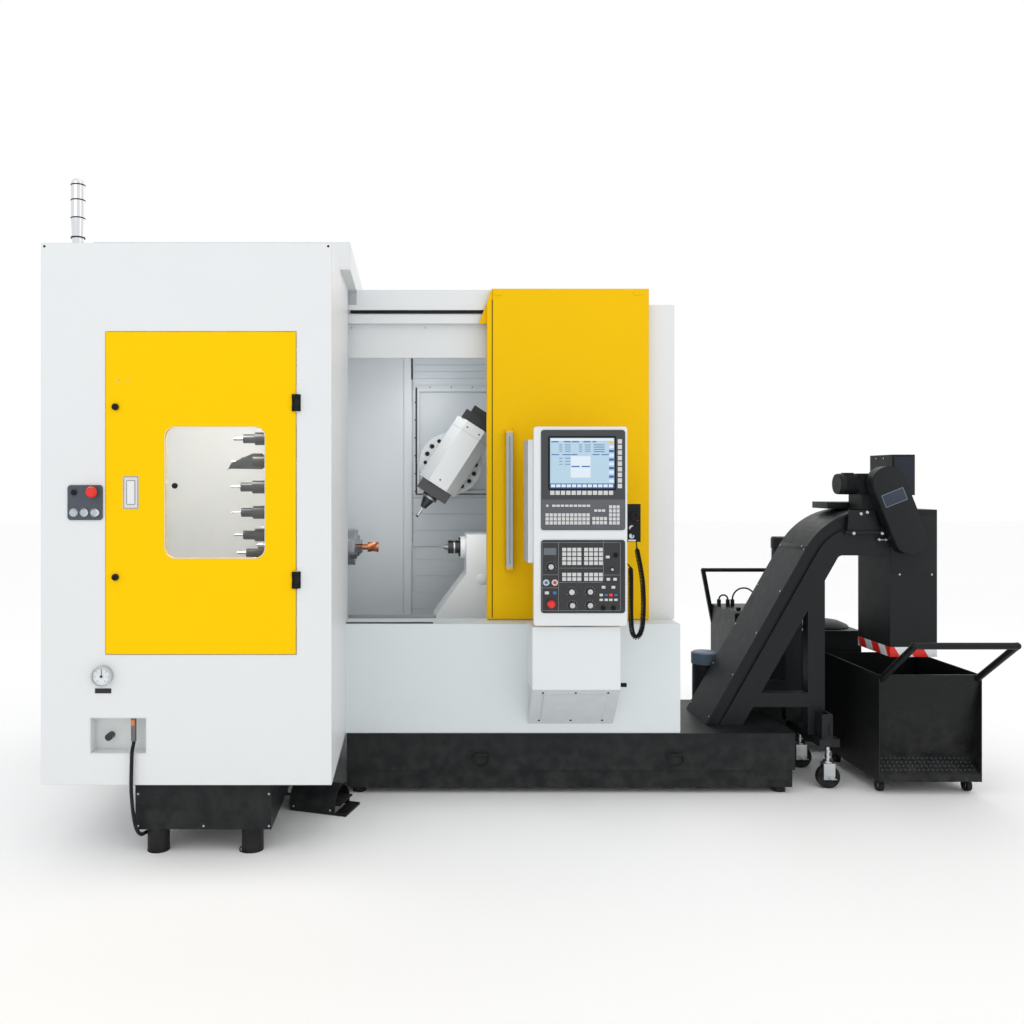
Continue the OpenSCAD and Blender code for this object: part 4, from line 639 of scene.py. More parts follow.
class Draft:
    """A mesh in the making, in metres in the part's frame."""

    def __init__(self) -> None:
        """Starts empty."""
        self.mesh = bmesh.new()

    def _take(self, part: bmesh.types.BMesh, bevel: float) -> "Draft":
        """Breaks a part's sharp edges and adds it.

        Args:
            part: A closed bmesh, which is freed.
            bevel: Width in metres.

        Returns:
            The draft itself.
        """
        bmesh.ops.recalc_face_normals(part, faces=part.faces)
        if bevel > 0:
            sharp = [e for e in part.edges if len(e.link_faces) == 2 and e.calc_face_angle(0) > SHARP_EDGE]
            bmesh.ops.bevel(part, geom=sharp, offset=bevel, segments=2, profile=0.5, affect="EDGES",
                            clamp_overlap=True)
        holder = bpy.data.meshes.new("holder")
        part.to_mesh(holder)
        part.free()
        self.mesh.from_mesh(holder)
        bpy.data.meshes.remove(holder)
        return self

    def prism(self, seat: Seat, outline: Sequence[Pair], thick: float, bevel: float = 0.6) -> "Draft":
        """A plate of any outline standing out of a seat.

        Args:
            seat: Where its back lies.
            outline: Points right and up, in millimetres.
            thick: Thickness in millimetres.
            bevel: Broken edge in millimetres.

        Returns:
            The draft itself.
        """
        part = bmesh.new()
        back = [part.verts.new(seat.to(u, v)) for u, v in outline]
        front = [part.verts.new(seat.to(u, v, thick)) for u, v in outline]
        part.faces.new(back)
        part.faces.new(front)
        for i in range(len(outline)):
            j = (i + 1) % len(outline)
            part.faces.new((back[i], back[j], front[j], front[i]))
        return self._take(part, mm(bevel))

    def slab(self, seat: Seat, width: float, height: float, thick: float, radius: float = 0.0,
             bevel: float = 0.6) -> "Draft":
        """A rectangular plate, its corners round if a radius is given.

        Args:
            seat: Centre of its back.
            width: Width in millimetres.
            height: Height in millimetres.
            thick: Thickness in millimetres.
            radius: Corner radius in millimetres.
            bevel: Broken edge in millimetres.

        Returns:
            The draft itself.
        """
        if radius > 0:
            outline = rounded(width, height, radius)
        else:
            outline = [(-width / 2, -height / 2), (width / 2, -height / 2), (width / 2, height / 2),
                       (-width / 2, height / 2)]
        return self.prism(seat, outline, thick, bevel)

    def turned(self, seat: Seat, profile: Sequence[Pair], sides: int = 32) -> "Draft":
        """A turned form about the seat's outward axis.

        Args:
            seat: Its axis and zero height.
            profile: Radius and height pairs in millimetres, from one end to the other, or back to the first
                for a ring.
            sides: Facets round it.

        Returns:
            The draft itself.
        """
        part = bmesh.new()
        rings = []
        hollow = profile[0] == profile[-1]
        for radius, height in profile[:-1] if hollow else profile:
            if radius <= 0:
                rings.append([part.verts.new(seat.to(0, 0, height))])
            else:
                rings.append([part.verts.new(seat.to(radius * math.cos(math.tau * k / sides),
                                                     radius * math.sin(math.tau * k / sides), height))
                              for k in range(sides)])
        if hollow:
            rings.append(rings[0])
        for low, high in zip(rings, rings[1:]):
            for k in range(sides):
                j = (k + 1) % sides
                corners = [low[k % len(low)], low[j % len(low)], high[j % len(high)], high[k % len(high)]]
                part.faces.new(list(dict.fromkeys(corners)))
        for ring in (rings[0], rings[-1]):
            if len(ring) > 1 and not hollow:
                part.faces.new(ring)
        return self._take(part, 0)

    def tube(self, path: Sequence[Vector], radius: float, sides: int = 10) -> "Draft":
        """A round bar along a path, with closed ends.

        Args:
            path: Points in metres.
            radius: Radius in millimetres.
            sides: Facets round it.

        Returns:
            The draft itself.
        """
        part = bmesh.new()
        rings = []
        normal = Vector((0, 0, 1))
        for i, point in enumerate(path):
            along = (path[min(i + 1, len(path) - 1)] - path[max(i - 1, 0)]).normalized()
            if i == 0 and abs(along.z) > UPRIGHT:
                normal = Vector((0, 1, 0))
            side = along.cross(normal).normalized()
            normal = side.cross(along).normalized()
            rings.append([part.verts.new(point + mm(radius) * (side * math.cos(math.tau * k / sides)
                                                               + normal * math.sin(math.tau * k / sides)))
                          for k in range(sides)])
        for low, high in zip(rings, rings[1:]):
            for k in range(sides):
                j = (k + 1) % sides
                part.faces.new((low[k], low[j], high[j], high[k]))
        part.faces.new(rings[0])
        part.faces.new(rings[-1])
        return self._take(part, 0)

    def loop(self, path: Sequence[Vector], radius: float, sides: int = 10) -> "Draft":
        """A round bar along a path that comes back to its start.

        Args:
            path: Points in metres.
            radius: Radius in millimetres.
            sides: Facets round it.

        Returns:
            The draft itself.
        """
        return self.tube([*path, path[0].copy()], radius, sides)

    def screws(self, seat: Seat, places: Iterable[Pair], radius: float, rise: float = 1.6) -> "Draft":
        """Socket-head screws on a face.

        Args:
            seat: Origin on the face.
            places: Right and up of each screw, in millimetres.
            radius: Head radius in millimetres.
            rise: Height of the head in millimetres.

        Returns:
            The draft itself.
        """
        for u, v in places:
            spot = seat.moved(u, v)
            self.turned(spot, [(radius, 0), (radius, rise * 0.7), (radius * 0.86, rise), (radius * 0.5, rise),
                               (radius * 0.44, rise * 0.35), (0, rise * 0.35)], 12)
        return self

    def done(self, name: str, finish: Finish, body: str, slot: str = "") -> bpy.types.Object:
        """Turns the draft into a piece that moves with a body.

        Args:
            name: The piece's name.
            finish: Its finish.
            body: The body that it rides on.
            slot: A material slot's name; not used.

        Returns:
            The piece.
        """
        data = bpy.data.meshes.new(name)
        self.mesh.to_mesh(data)
        self.mesh.free()
        data.shade_smooth()
        data.set_sharp_from_angle(angle=SMOOTH_EDGE)
        data.materials.append(finish.build())
        piece = bpy.data.objects.new(name, data)
        bpy.context.scene.collection.objects.link(piece)
        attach(piece, body)
        LOG.info("%s: %d faces on %s", name, len(data.polygons), body)
        return piece


def dress(**finishes: Finish) -> None:
    """Gives CAD nodes their finishes.

    Args:
        finishes: Each node's finish, by the node's name.
    """
    for node, finish in finishes.items():
        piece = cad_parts[node]
        material = finish.build()
        if not piece.data.materials:
            piece.data.materials.append(material)
        for holder in piece.material_slots:
            holder.material = material
        LOG.info("%s: %s", node, finish.name)


dark = partial(Finish, shine=0.2)
moulded = partial(Finish, grain=Grain.MOULDED, grime=0.0)
dark_mould = partial(dark, grain=Grain.MOULDED)
bare_metal = partial(Finish, metal=1.0, grime=0.0)

WHITE_COAT = Finish("white_coat", linear(227, 230, 232), rough=0.4, drift=0.015, grime=0.12, wear=0.03, edge=0.003,
                    slot="white_paint")
SKIRT_COAT = Finish("skirt_coat", linear(218, 225, 227), rough=0.4, drift=0.015, grime=0.1, wear=0.03, edge=0.003)
INNER_COAT = Finish("inner_coat", linear(220, 225, 228), rough=0.34, drift=0.04, grime=0.0, wear=0.06,
                    slot="white_paint")
CABINET_GOLD = ZonedFinish(
    "cabinet_gold", linear(252, 203, 0), rough=0.5, shine=0.07, drift=0.02, grime=0.0, wear=0.02,
    zones=(Zone((-520, -40, 800), (-470, -4.3, 2300), linear(32, 33, 35), 0.45),))
DOOR_GOLD = Finish("door_gold", linear(242, 193, 4), rough=0.5, shine=0.1, drift=0.02, grime=0.0, wear=0.02,
                   edge=0.003, slot="door_yellow")
SATIN_BLACK = dark("satin_black", linear(24, 27, 29), rough=0.42, drift=0.1, grime=0.3, wear=0.12, slot="black_paint")
CONVEYOR_BLACK = dark("conveyor_black", linear(28, 31, 33), drift=0.1, grime=0.3, slot="black_paint")
DRIVE_BLACK = dark("drive_black", linear(24, 26, 28), rough=0.5, grain=Grain.CAST, depth=0.0004, grime=0.0, wear=0.1,
                   slot="black_paint")
BOX_BLUE_BLACK = dark("box_blue_black", linear(36, 40, 50), rough=0.4, grime=0.0, wear=0.05, slot="black_paint")
BLANK_PLATE = Finish("blank_plate", linear(40, 50, 66), rough=0.4, grain=Grain.BRUSHED_X, metal=0.2, grime=0.0,
                     wear=0.1, slot="zinc")
TREAD_LUGS = Finish("tread_lugs", linear(78, 86, 90), rough=0.35, metal=0.4, grime=0.2, wear=0.4, edge=0.001,
                    slot="cart_black")
SWITCH_COAT = dark("switch_coat", linear(26, 28, 30), grain=Grain.CAST, depth=0.0003, grime=0.2, slot="black_plastic")
CART_COAT = dark("cart_coat", linear(22, 24, 25), rough=0.4, drift=0.12, grime=0.35, wear=0.3)
PANEL_COAT = ZonedFinish(
    "panel_coat", linear(58, 60, 64), rough=0.5, grain=Grain.MOULDED, drift=0.04, grime=0.0, wear=0.03,
    zones=(Zone((500, 400, 900), (1200, 800, 1290), linear(42, 43, 46), 0.5),))
PLATE_BLACK = dark_mould("plate_black", linear(18, 19, 21), rough=0.35, grime=0.0, wear=0.05, slot="black_plastic")
STATION_COAT = ZonedFinish(
    "station_coat", linear(70, 79, 89), rough=0.5, grain=Grain.MOULDED, grime=0.0, wear=0.03,
    zones=(Zone((-1440, -40, 1404), (-1290, -6.3, 1465), linear(214, 222, 228), 0.3),))
CHROME = bare_metal("bright_chrome", (0.72, 0.73, 0.75), rough=0.12, grain=Grain.POLISHED, depth=0.00005, wear=0.05,
                    edge=0.001, slot="chrome")
ZINC = Finish("zinc_plate", (0.60, 0.62, 0.64), rough=0.3, grain=Grain.POLISHED, metal=1.0, grime=0.2, wear=0.2,
              slot="zinc")
GROUND_STEEL = bare_metal("ground_steel", (0.50, 0.51, 0.53), rough=0.3, grain=Grain.BRUSHED_Y, depth=0.00008,
                          wear=0.1, edge=0.0015, slot="steel")
BLACKED_STEEL = bare_metal("blacked_steel", (0.035, 0.037, 0.04), rough=0.32, grain=Grain.POLISHED, metal=0.6,
                           wear=0.25, edge=0.0015, slot="steel")
JAW_STEEL = bare_metal("jaw_steel", (0.28, 0.29, 0.31), rough=0.3, grain=Grain.BRUSHED_X, wear=0.2, slot="steel")
COPPER = bare_metal("turned_copper", linear(206, 128, 92), rough=0.24, grain=Grain.BRUSHED_Y, depth=0.00015,
                    drift=0.12, wear=0.1, edge=0.001)
CASTING = Finish("grey_casting", linear(150, 156, 160), rough=0.55, grain=Grain.CAST, depth=0.0006, grime=0.4,
                 slot="cast_iron")
RUBBER = dark_mould("black_rubber", linear(18, 18, 19), rough=0.7, grime=0.35, wear=0.1, slot="rubber")
HOSE_RUBBER = dark_mould("hose_rubber", linear(24, 25, 27), rough=0.5, wear=0.1)
BLACK_MOULD = dark_mould("black_mould", linear(22, 23, 25), grime=0.2, wear=0.1, slot="black_plastic")
PALE_KEYS = moulded("pale_keys", linear(206, 208, 208), rough=0.5, wear=0.05, edge=0.0008, slot="grey_plastic")
RED_MOULD = moulded("red_mould", linear(226, 26, 24), rough=0.3, coat=0.3, wear=0.03, slot="red_plastic")
BLUE_MOULD = moulded("blue_mould", linear(60, 118, 178), rough=0.35, wear=0.03, slot="grey_plastic")
ORANGE_MOULD = moulded("orange_mould", linear(222, 118, 62), rough=0.4, wear=0.05, slot="grey_plastic")
SILVER_CAP = bare_metal("silver_cap", (0.62, 0.62, 0.62), rough=0.35, grain=Grain.POLISHED, metal=0.8, wear=0.05,
                        slot="chrome")
DIAL_WHITE = moulded("dial_white", linear(222, 228, 230), rough=0.5, wear=0.0, slot="white_paint")
LENS_BLUE = moulded("lens_blue", linear(176, 190, 200), rough=0.3, wear=0.0, slot="white_paint")
CAP_GREY = Finish("cap_grey", linear(98, 112, 126), rough=0.4, grime=0.1, slot="grey_paint")
WINDOW_PANE = Pane("window_pane", (0.80, 0.86, 0.88), rough=0.04, alpha=0.04)
screen = partial(Glow, rough=0.2, slot="screen")
DISPLAY = screen("display_field", linear(174, 202, 219), strength=0.1)
DISPLAY_BLUE = screen("display_blue", linear(48, 98, 168), strength=0.12)
DISPLAY_PALE = screen("display_pale", linear(214, 226, 236), strength=0.1)
DISPLAY_INK = screen("display_ink", linear(92, 116, 146), strength=0.3)
DISPLAY_AMBER = screen("display_amber", linear(238, 158, 60), strength=0.3)
RED_LAMP = Glow("red_lamp", linear(222, 40, 36), rough=0.25, strength=0.35)
MARKING_TAPE = Stripes("marking_tape", linear(226, 36, 30), rough=0.4, other=linear(226, 230, 232), pitch=0.146,
                       slot="black_paint")


@dataclass
class Studio:
    """Floor, light and camera.

    Attributes:
        reach: Half the floor's width in metres.
        eye: Camera place in metres.
        lens: Focal length in millimetres.
        shift: Camera shift as shares of the frame.
        sky: Strength of the even light.
        lamps: Name, place in metres, size and power of each studio lamp.
        inner_lamps: The same with a target for the machine's lamps, in the source's millimetres.
    """

    reach: float = 30.0
    eye: Point = (-0.6405, -4.876, 1.570)
    lens: float = 32.19
    shift: Pair = (0.0957, -0.03125)
    sky: float = 1.0
    lamps: tuple[tuple[str, Point, float, float], ...] = (
        ("key", (-3.4, -4.6, 5.2), 3.6, 22.0), ("fill", (4.2, -4.4, 3.8), 3.2, 12.0),
        ("top", (0.0, 0.6, 6.4), 4.5, 15.0), ("back", (2.6, 4.6, 4.4), 3.0, 20.0))
    inner_lamps: tuple[tuple[str, Point, Point, float, float], ...] = (
        ("work_lamp", (90, 1090, 2150), (230, 1800, 1650), 0.3, 2.4),
        ("work_fill", (60, 1000, 1480), (60, 1862, 1480), 0.7, 1.5),
        ("bay_lamp", (-900, 110, 2120), (-900, 700, 1450), 0.3, 10.0))

    def build(self) -> None:
        """Sets up the whole studio."""
        self._floor()
        self._light()
        self._camera()

    def _floor(self) -> None:
        """Lays the pale floor."""
        data = bpy.data.meshes.new("studio_floor")
        size = self.reach
        data.from_pydata([(-size, -size, 0), (size, -size, 0), (size, size, 0), (-size, size, 0)], [], [(0, 1, 2, 3)])
        graph = Graph("studio_floor")
        cloud = graph.noise(graph.place(), 0.6, 2.0)
        graph.set(Base_Color=graph.mix(cloud, (0.965, 0.967, 0.97, 1), (0.98, 0.98, 0.98, 1)), Roughness=0.85)
        data.materials.append(graph.material)
        floor = bpy.data.objects.new("studio_floor", data)
        bpy.context.scene.collection.objects.link(floor)

    def _light(self) -> None:
        """Hangs soft lamps, an even sky and the lamps inside the machine."""
        bpy.context.scene.view_settings.view_transform = "Standard"
        world = bpy.data.worlds.new("studio")
        world.use_nodes = True
        sky = world.node_tree.nodes["Background"]
        sky.inputs["Color"].default_value = (1.0, 1.0, 1.0, 1.0)
        sky.inputs["Strength"].default_value = self.sky
        bpy.context.scene.world = world
        middle = Vector((0.0, 0.2, 1.2))
        for name, place, size, power in self.lamps:
            self._lamp(name, Vector(place), middle, size, power)
        for name, place, target, size, power in self.inner_lamps:
            self._lamp(name, at(*place), at(*target), size, power)

    def _lamp(self, name: str, place: Vector, target: Vector, size: float, power: float) -> None:
        """Hangs one square lamp.

        Args:
            name: The lamp's name.
            place: Where it hangs, in metres.
            target: Where it points.
            size: Its side in metres.
            power: Its power in watts.
        """
        data = bpy.data.lights.new(name, "AREA")
        data.size = size
        data.energy = power
        lamp = bpy.data.objects.new(name, data)
        lamp.location = place
        lamp.visible_camera = False
        lamp.rotation_euler = (target - place).to_track_quat("-Z", "Y").to_euler()
        bpy.context.scene.collection.objects.link(lamp)

    def _camera(self) -> None:
        """Stands the camera where the photographer stood."""
        data = bpy.data.cameras.new("camera")
        data.sensor_fit = "HORIZONTAL"
        data.sensor_width = 36.0
        data.lens = self.lens
        data.shift_x, data.shift_y = self.shift
        data.clip_end = 200.0
        camera = bpy.data.objects.new("camera", data)
        camera.location = self.eye
        camera.rotation_euler = (math.pi / 2, 0.0, 0.0)
        bpy.context.scene.collection.objects.link(camera)
        bpy.context.scene.camera = camera


@dataclass
class Cords:
    """The air hose and the pendant's curly cord.

    Attributes:
        hose_width: Air hose diameter in millimetres.
        wire: Diameter of the curly cord's cable.
        coil: Outer diameter of its turns.
        pitch: Distance between turns.
        lead: Straight cable at each end.
        hose_route: Places that the hose passes, in the source's millimetres.
        cord_route: Places that the coil's middle line passes.
    """

    hose_width: float = 16.0
    wire: float = 6.2
    coil: float = 26.0
    pitch: float = 6.6
    lead: float = 46.0
    hose_route: tuple[Point, ...] = (
        (-1169, 20, 482), (-1169, 16, 470), (-1168, 0, 455), (-1166, -16, 438), (-1166, -20, 400), (-1169, -16, 304),
        (-1167, -12, 240), (-1163, -4, 180), (-1158, 8, 130), (-1154, 30, 98), (-1150, 62, 76), (-1146, 105, 66),
        (-1136, 155, 64), (-1122, 210, 64), (-1103, 262, 65), (-1082, 300, 66), (-1070, 322, 66), (-1070, 340, 66))
    cord_route: tuple[Point, ...] = (
        (1066, 592, 1274), (1068, 592, 1250), (1074, 592, 1210), (1086, 592, 1150), (1096, 592, 1080),
        (1100, 592, 1000), (1099, 592, 920), (1094, 592, 864), (1082, 592, 828), (1067, 592, 815), (1052, 592, 827),
        (1043, 592, 862), (1040, 592, 930), (1040, 592, 1010), (1040, 592, 1085), (1039, 592, 1135),
        (1034, 592, 1162), (1027, 592, 1171), (1018, 592, 1172))

    def build(self) -> None:
        """Makes both cords and hides the solids that they replace."""
        hose = smooth_route([at(*p) for p in self.hose_route], 4)
        self._cord("air_hose_line", hose, self.hose_width, HOSE_RUBBER, "base", "air_hose")
        spine = smooth_route([at(*p) for p in self.cord_route], 10)
        self._cord("pendant_coil_line", self._curl(spine), self.wire, RUBBER, "panel", "pendant_cord")

    def _curl(self, spine: Sequence[Vector]) -> list[Vector]:
        """Winds the cable round a spine, with straight leads.

        Args:
            spine: Points along the middle of the coil.

        Returns:
            The cable's points.
        """
        whole = path_length(spine)
        turns = round((whole - 2 * mm(self.lead)) / mm(self.pitch))
        count = turns * 12
        side = Vector((0, 1, 0))
        points = [spine[0].copy()]
        ease = mm(14)
        run, index = 0.0, 0
        for step in range(count + 1):
            target = mm(self.lead) * 0.6 + (whole - 1.2 * mm(self.lead)) * step / count
            while index < len(spine) - 2 and run + (spine[index + 1] - spine[index]).length < target:
                run += (spine[index + 1] - spine[index]).length
                index += 1
            along = (spine[index + 1] - spine[index]).normalized()
            centre = spine[index] + along * (target - run)
            grow = min(1.0, (target - mm(self.lead) * 0.6) / ease, (whole - mm(self.lead) * 0.6 - target) / ease)
            radius = mm(self.coil - self.wire) / 2 * max(grow, 0.0)
            angle = math.tau * step / 12
            points.append(centre + radius * (side * math.sin(angle) + side.cross(along) * math.cos(angle)))
        points.append(spine[-1].copy())
        return points

    def _cord(self, name: str, path: Sequence[Vector], width: float, finish: Finish, body: str, node: str) -> None:
        """Lays one cord and logs its length.

        Args:
            name: The piece's name.
            path: Points in metres.
            width: Diameter in millimetres.
            finish: Its finish.
            body: The body that carries it.
            node: The plain solid that it replaces.
        """
        data = bpy.data.curves.new(name, "CURVE")
        data.dimensions = "3D"
        data.bevel_depth = mm(width) / 2
        data.bevel_resolution = 2
        data.use_fill_caps = True
        spline = data.splines.new("POLY")
        spline.points.add(len(path) - 1)
        for place, point in zip(path, spline.points):
            point.co = (*place, 1.0)
        spline.use_smooth = True
        data.materials.append(finish.build())
        piece = bpy.data.objects.new(name, data)
        bpy.context.scene.collection.objects.link(piece)
        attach(piece, body)
        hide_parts(node)
        path_length(path)
        mm(width)
        LOG.info("%s: %.2f m", name, path_length(path))


def front_seat(x: float, y: float, z: float) -> Seat:
    """A seat on a face that looks to the front, in the source's millimetres."""
    return Seat.facing(Axis.FRONT, at(x, y, z))


def top_seat(x: float, y: float, z: float) -> Seat:
    """A seat on a level face that looks up, in the source's millimetres."""
    return Seat.facing(Axis.Z, at(x, y, z))


def front_of(node: str) -> float:
    """Y of a node's front, in the source's millimetres."""
    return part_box(node)[0][1] * 1000 + DATUM[1]


def ring_profile(outer: float, inner: float, rise: float) -> list[Pair]:
    """Profile of a flat ring with a soft top edge, for Draft.turned.

    Args:
        outer: Outer radius.
        inner: Inner radius.
        rise: Height.

    Returns:
        Radius and height pairs.
    """
    return [(inner, 0), (outer, 0), (outer, rise * 0.7), (outer - rise * 0.3, rise), (inner + rise * 0.2, rise),
            (inner, rise * 0.8), (inner, 0)]


@dataclass
class Cabinet:
    """The tool magazine's cabinet with its pedestal, air recess, gauge and button station.

    Attributes:
        plug: Radius of the corner plugs.
        dial: Radius of the gauge's dial.
        screw: Radius of the pedestal's screws.
        gauge: Centre of the gauge's front.
        stack: Foot of the stack light.
        stack_radius: Radius of its lenses.
        rings: Heights of its joints over the foot.
    """

    plug: float = 5.0
    dial: float = 37.0
    screw: float = 4.5
    gauge: Point = (-1290, -22, 759)
    stack: Point = (-1486, 250, 2554)
    stack_radius: float = 30.0
    rings: tuple[float, ...] = (86.0, 172.0, 251.0, 318.0)

    def build(self) -> None:
        """Dresses the cabinet's solids and adds their small pieces."""
        dress(left_cabinet=WHITE_COAT, cabinet_pedestal=SATIN_BLACK, levelling_feet=BLACK_MOULD,
              cabinet_hinges=SATIN_BLACK, cabinet_station=STATION_COAT, station_estop=RED_MOULD,
              gauge_needle=PLATE_BLACK)
        self._gauge_finish()
        self._air_finish()
        self._stack_light()
        self._gauge_dial()
        self._station()
        self._small_metal()

    def _gauge_finish(self) -> None:
        """Bright rim on the gauge, black blank plate below it."""
        x, _, z = self.gauge
        dress(pressure_gauge=ZonedFinish(
            "gauge_case", (0.55, 0.56, 0.57), rough=0.2, grain=Grain.POLISHED, metal=1.0, grime=0.0,
            zones=(Zone((x - 60, -60, z - 90), (x + 60, 20, z - 46), linear(26, 27, 29), 0.4),)))

    def _air_finish(self) -> None:
        """White recess, black regulator knob, grey coupler and a black blank plate."""
        dress(air_unit=ZonedFinish(
            "air_recess", linear(222, 226, 226), rough=0.4, grime=0.0, wear=0.03,
            zones=(Zone((-1300, -20, 470), (-1250, 62, 522), linear(34, 34, 36), 0.4),
                   Zone((-1184, 4, 470), (-1154, 34, 640), (0.16, 0.16, 0.165), 0.35, 0.8),
                   Zone((-1400, -20, 380), (-1200, -0.3, 428), linear(26, 27, 29), 0.4))))
        collar = front_seat(-1169, 9, 560)
        Draft().slab(collar, 15, 24, 3, 4).done("coupler_slider", ORANGE_MOULD, "base")

    def _stack_light(self) -> None:
        """Chrome column with dark joints between its lenses and a dark foot."""
        dress(stack_light=CHROME)
        x, y, z = self.stack
        seat = top_seat(x, y, z)
        joints = Draft()
        for height in self.rings:
            inner, outer = self.stack_radius - 1, self.stack_radius + 1.2
            joints.turned(seat.moved(0, 0, height), [(inner, -2.5), (outer, -2.5), (outer, 2.5), (inner, 2.5)], 48)
        joints.done("stack_light_joints", PLATE_BLACK, "base")
        foot = Draft().turned(seat, [(0, 0), (44, 0), (44, 6), (38, 12), (31.5, 14), (0, 14)], 48)
        foot.done("stack_light_foot", BLACK_MOULD, "base")

    def _gauge_dial(self) -> None:
        """Pale dial with its ring of ticks and plain numbers."""
        x, y, z = self.gauge
        seat = front_seat(x, y + 0.2, z)
        Draft().turned(seat, [(0, 0), (self.dial, 0), (self.dial, 0.5), (0, 0.5)], 48).done(
            "gauge_dial", DIAL_WHITE, "base")
        ticks = Draft()
        for step in range(31):
            angle = math.radians(225 - 9 * step)
            length = 6.0 if step % 5 == 0 else 3.2
            middle = self.dial - 3 - length / 2
            spot = seat.moved(middle * math.cos(angle), middle * math.sin(angle), 0.5)
            right = spot.right * math.cos(angle) + spot.up * math.sin(angle)
            turned = Seat(spot.origin, right, spot.out.cross(right), spot.out)
            ticks.slab(turned, length, 1.1 if step % 5 == 0 else 0.7, 0.3, bevel=0)
        ticks.done("gauge_ticks", PLATE_BLACK, "base")
        for step in range(7):
            angle = math.radians(233 - 286 / 6 * step)
            spot = seat.to(24 * math.cos(angle), 24 * math.sin(angle), 0.6)
            self._number(f"gauge_number_{step}", str(step), spot)
        Draft().turned(front_seat(x, y - 3.2, z), [(0, 0), (5, 0), (5, 1.5), (3.5, 2.4), (0, 2.4)], 24).done(
            "gauge_hub", PLATE_BLACK, "gauge_needle")

    def _number(self, name: str, word: str, place: Vector) -> None:
        """Prints one number on the dial.

        Args:
            name: The piece's name.
            word: The digits.
            place: Its centre in metres.
        """
        data = bpy.data.curves.new(name, "FONT")
        data.body = word
        data.size = mm(8)
        data.align_x = "CENTER"
        data.align_y = "CENTER"
        data.resolution_u = 3
        data.materials.append(PLATE_BLACK.build())
        piece = bpy.data.objects.new(name, data)
        piece.location = place
        piece.rotation_euler = (math.pi / 2, 0, 0)
        bpy.context.scene.collection.objects.link(piece)
        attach(piece, "base")

    def _station(self) -> None:
        """Key switch, button rings and pale lenses of the button station."""
        rings, lenses = Draft(), Draft()
        for x in (-1410, -1367, -1324):
            seat = front_seat(x, -14, 1435)
            rings.turned(seat.moved(0, 0, -8.2), ring_profile(17.5, 14.2, 5.0), 32)
            lenses.turned(seat, [(0, 0), (12.5, 0), (12.5, 1.2), (9, 2.6), (0, 3.1)], 32)
        rings.done("station_button_rings", SILVER_CAP, "base")
        lenses.done("station_button_lenses", LENS_BLUE, "base")
        lock = Draft().turned(front_seat(-1408, -6, 1519), [(0, 0), (12, 0), (12, 8), (10, 10), (0, 10)], 32)
        lock.slab(front_seat(-1408, -16, 1519), 3, 13, 1.5, bevel=0.2)
        lock.done("station_key_switch", BLACK_MOULD, "base")

    def _small_metal(self) -> None:
        """Screws of the pedestal, plugs of the cabinet's top corners and rubber rims of the feet."""
        seat = front_seat(0, 50, 0)
        places = [(-1160, 250), (-610, 250), (-1160, 115), (-885, 115), (-610, 115)]
        Draft().screws(seat, places, self.screw).done("pedestal_screws", ZINC, "base")
        plugs = Draft()
        for x in (-1534, -356):
            plugs.turned(front_seat(x, 0, 2540), [(0, 0), (self.plug, 0), (self.plug, 1), (0, 2)], 20)
        plugs.done("cabinet_corner_plugs", BLACK_MOULD, "base")
        rims = Draft()
        for x in (-1076, -686):
            rims.turned(top_seat(x - 10, 96, 0), ring_profile(47.2, 45.4, 6), 40)
        rims.done("foot_rims", RUBBER, "base")


@dataclass
class MagazineDoor:
    """The yellow cabinet door with its window, latches and flush paddle.

    Attributes:
        face: Y of the door's front.
        window: Left, bottom, width and height of the window.
        paddle: X and Z of the paddle's centre.
    """

    face: float = -4.0
    window: Quad = (-1033, 1246, 415, 544)
    paddle: Pair = (-1174, 1518)

    def build(self) -> None:
        """Dresses the door and adds gasket, trims and screws."""
        dress(magazine_door=CABINET_GOLD, magazine_window=WINDOW_PANE, flush_paddle=CHROME, latch_upper=PLATE_BLACK,
              latch_lower=PLATE_BLACK)
        self._gasket()
        self._paddle_plate()
        self._latch_caps()
        knob = front_seat(-996, 12, 1546)
        Draft().turned(knob, [(0, -4), (12, -4), (12, 4), (10, 7), (6, 8), (0, 8)], 32).done(
            "window_knob", BLACK_MOULD, "magazine_door")
        Draft().screws(front_seat(0, self.face, 0), [(-1224, 1985), (-1187, 1985)], 4.0, 1.2).done(
            "door_small_screws", ZINC, "magazine_door")

    def _gasket(self) -> None:
        """Thin pale trim round the window opening."""
        x, z, width, height = self.window
        outer = rounded(width, height, 42, 8)
        path = [at(x + width / 2 + u, self.face - 0.3, z + height / 2 + v) for u, v in outer]
        Draft().loop(path, 1.6, 6).done("window_trim", WHITE_COAT, "magazine_door")

    def _paddle_plate(self) -> None:
        """Pocket frame of the paddle and its inner pull plate."""
        x, z = self.paddle
        plate = Draft().slab(front_seat(x, self.face, z), 31, 96, 1.4, 3, 0.5)
        plate.done("paddle_pull_plate", WHITE_COAT, "flush_paddle")
        line = [at(x + u, self.face - 0.2, z + v) for u, v in rounded(35, 100, 4, 4)]
        Draft().loop(line, 0.9, 6).done("paddle_pull_line", PLATE_BLACK, "flush_paddle")
        edge = [at(x + u, self.face - 0.4, z + v) for u, v in rounded(63, 135, 3, 3)]
        Draft().loop(edge, 1.7, 6).done("paddle_pocket_trim", CHROME, "magazine_door")

    def _latch_caps(self) -> None:
        """Key slots in the two quarter-turn latches."""
        for name, z in (("latch_upper", 1872.7), ("latch_lower", 1167.3)):
            front = front_of(name)
            cap = Draft().turned(front_seat(-1237, front + 0.2, z), ring_profile(13.4, 6.5, 1.6), 32)
            cap.slab(front_seat(-1237, front + 0.1, z), 2.4, 10, 0.9, bevel=0.2)
            cap.done(f"{name}_cap", BLACK_MOULD, name)


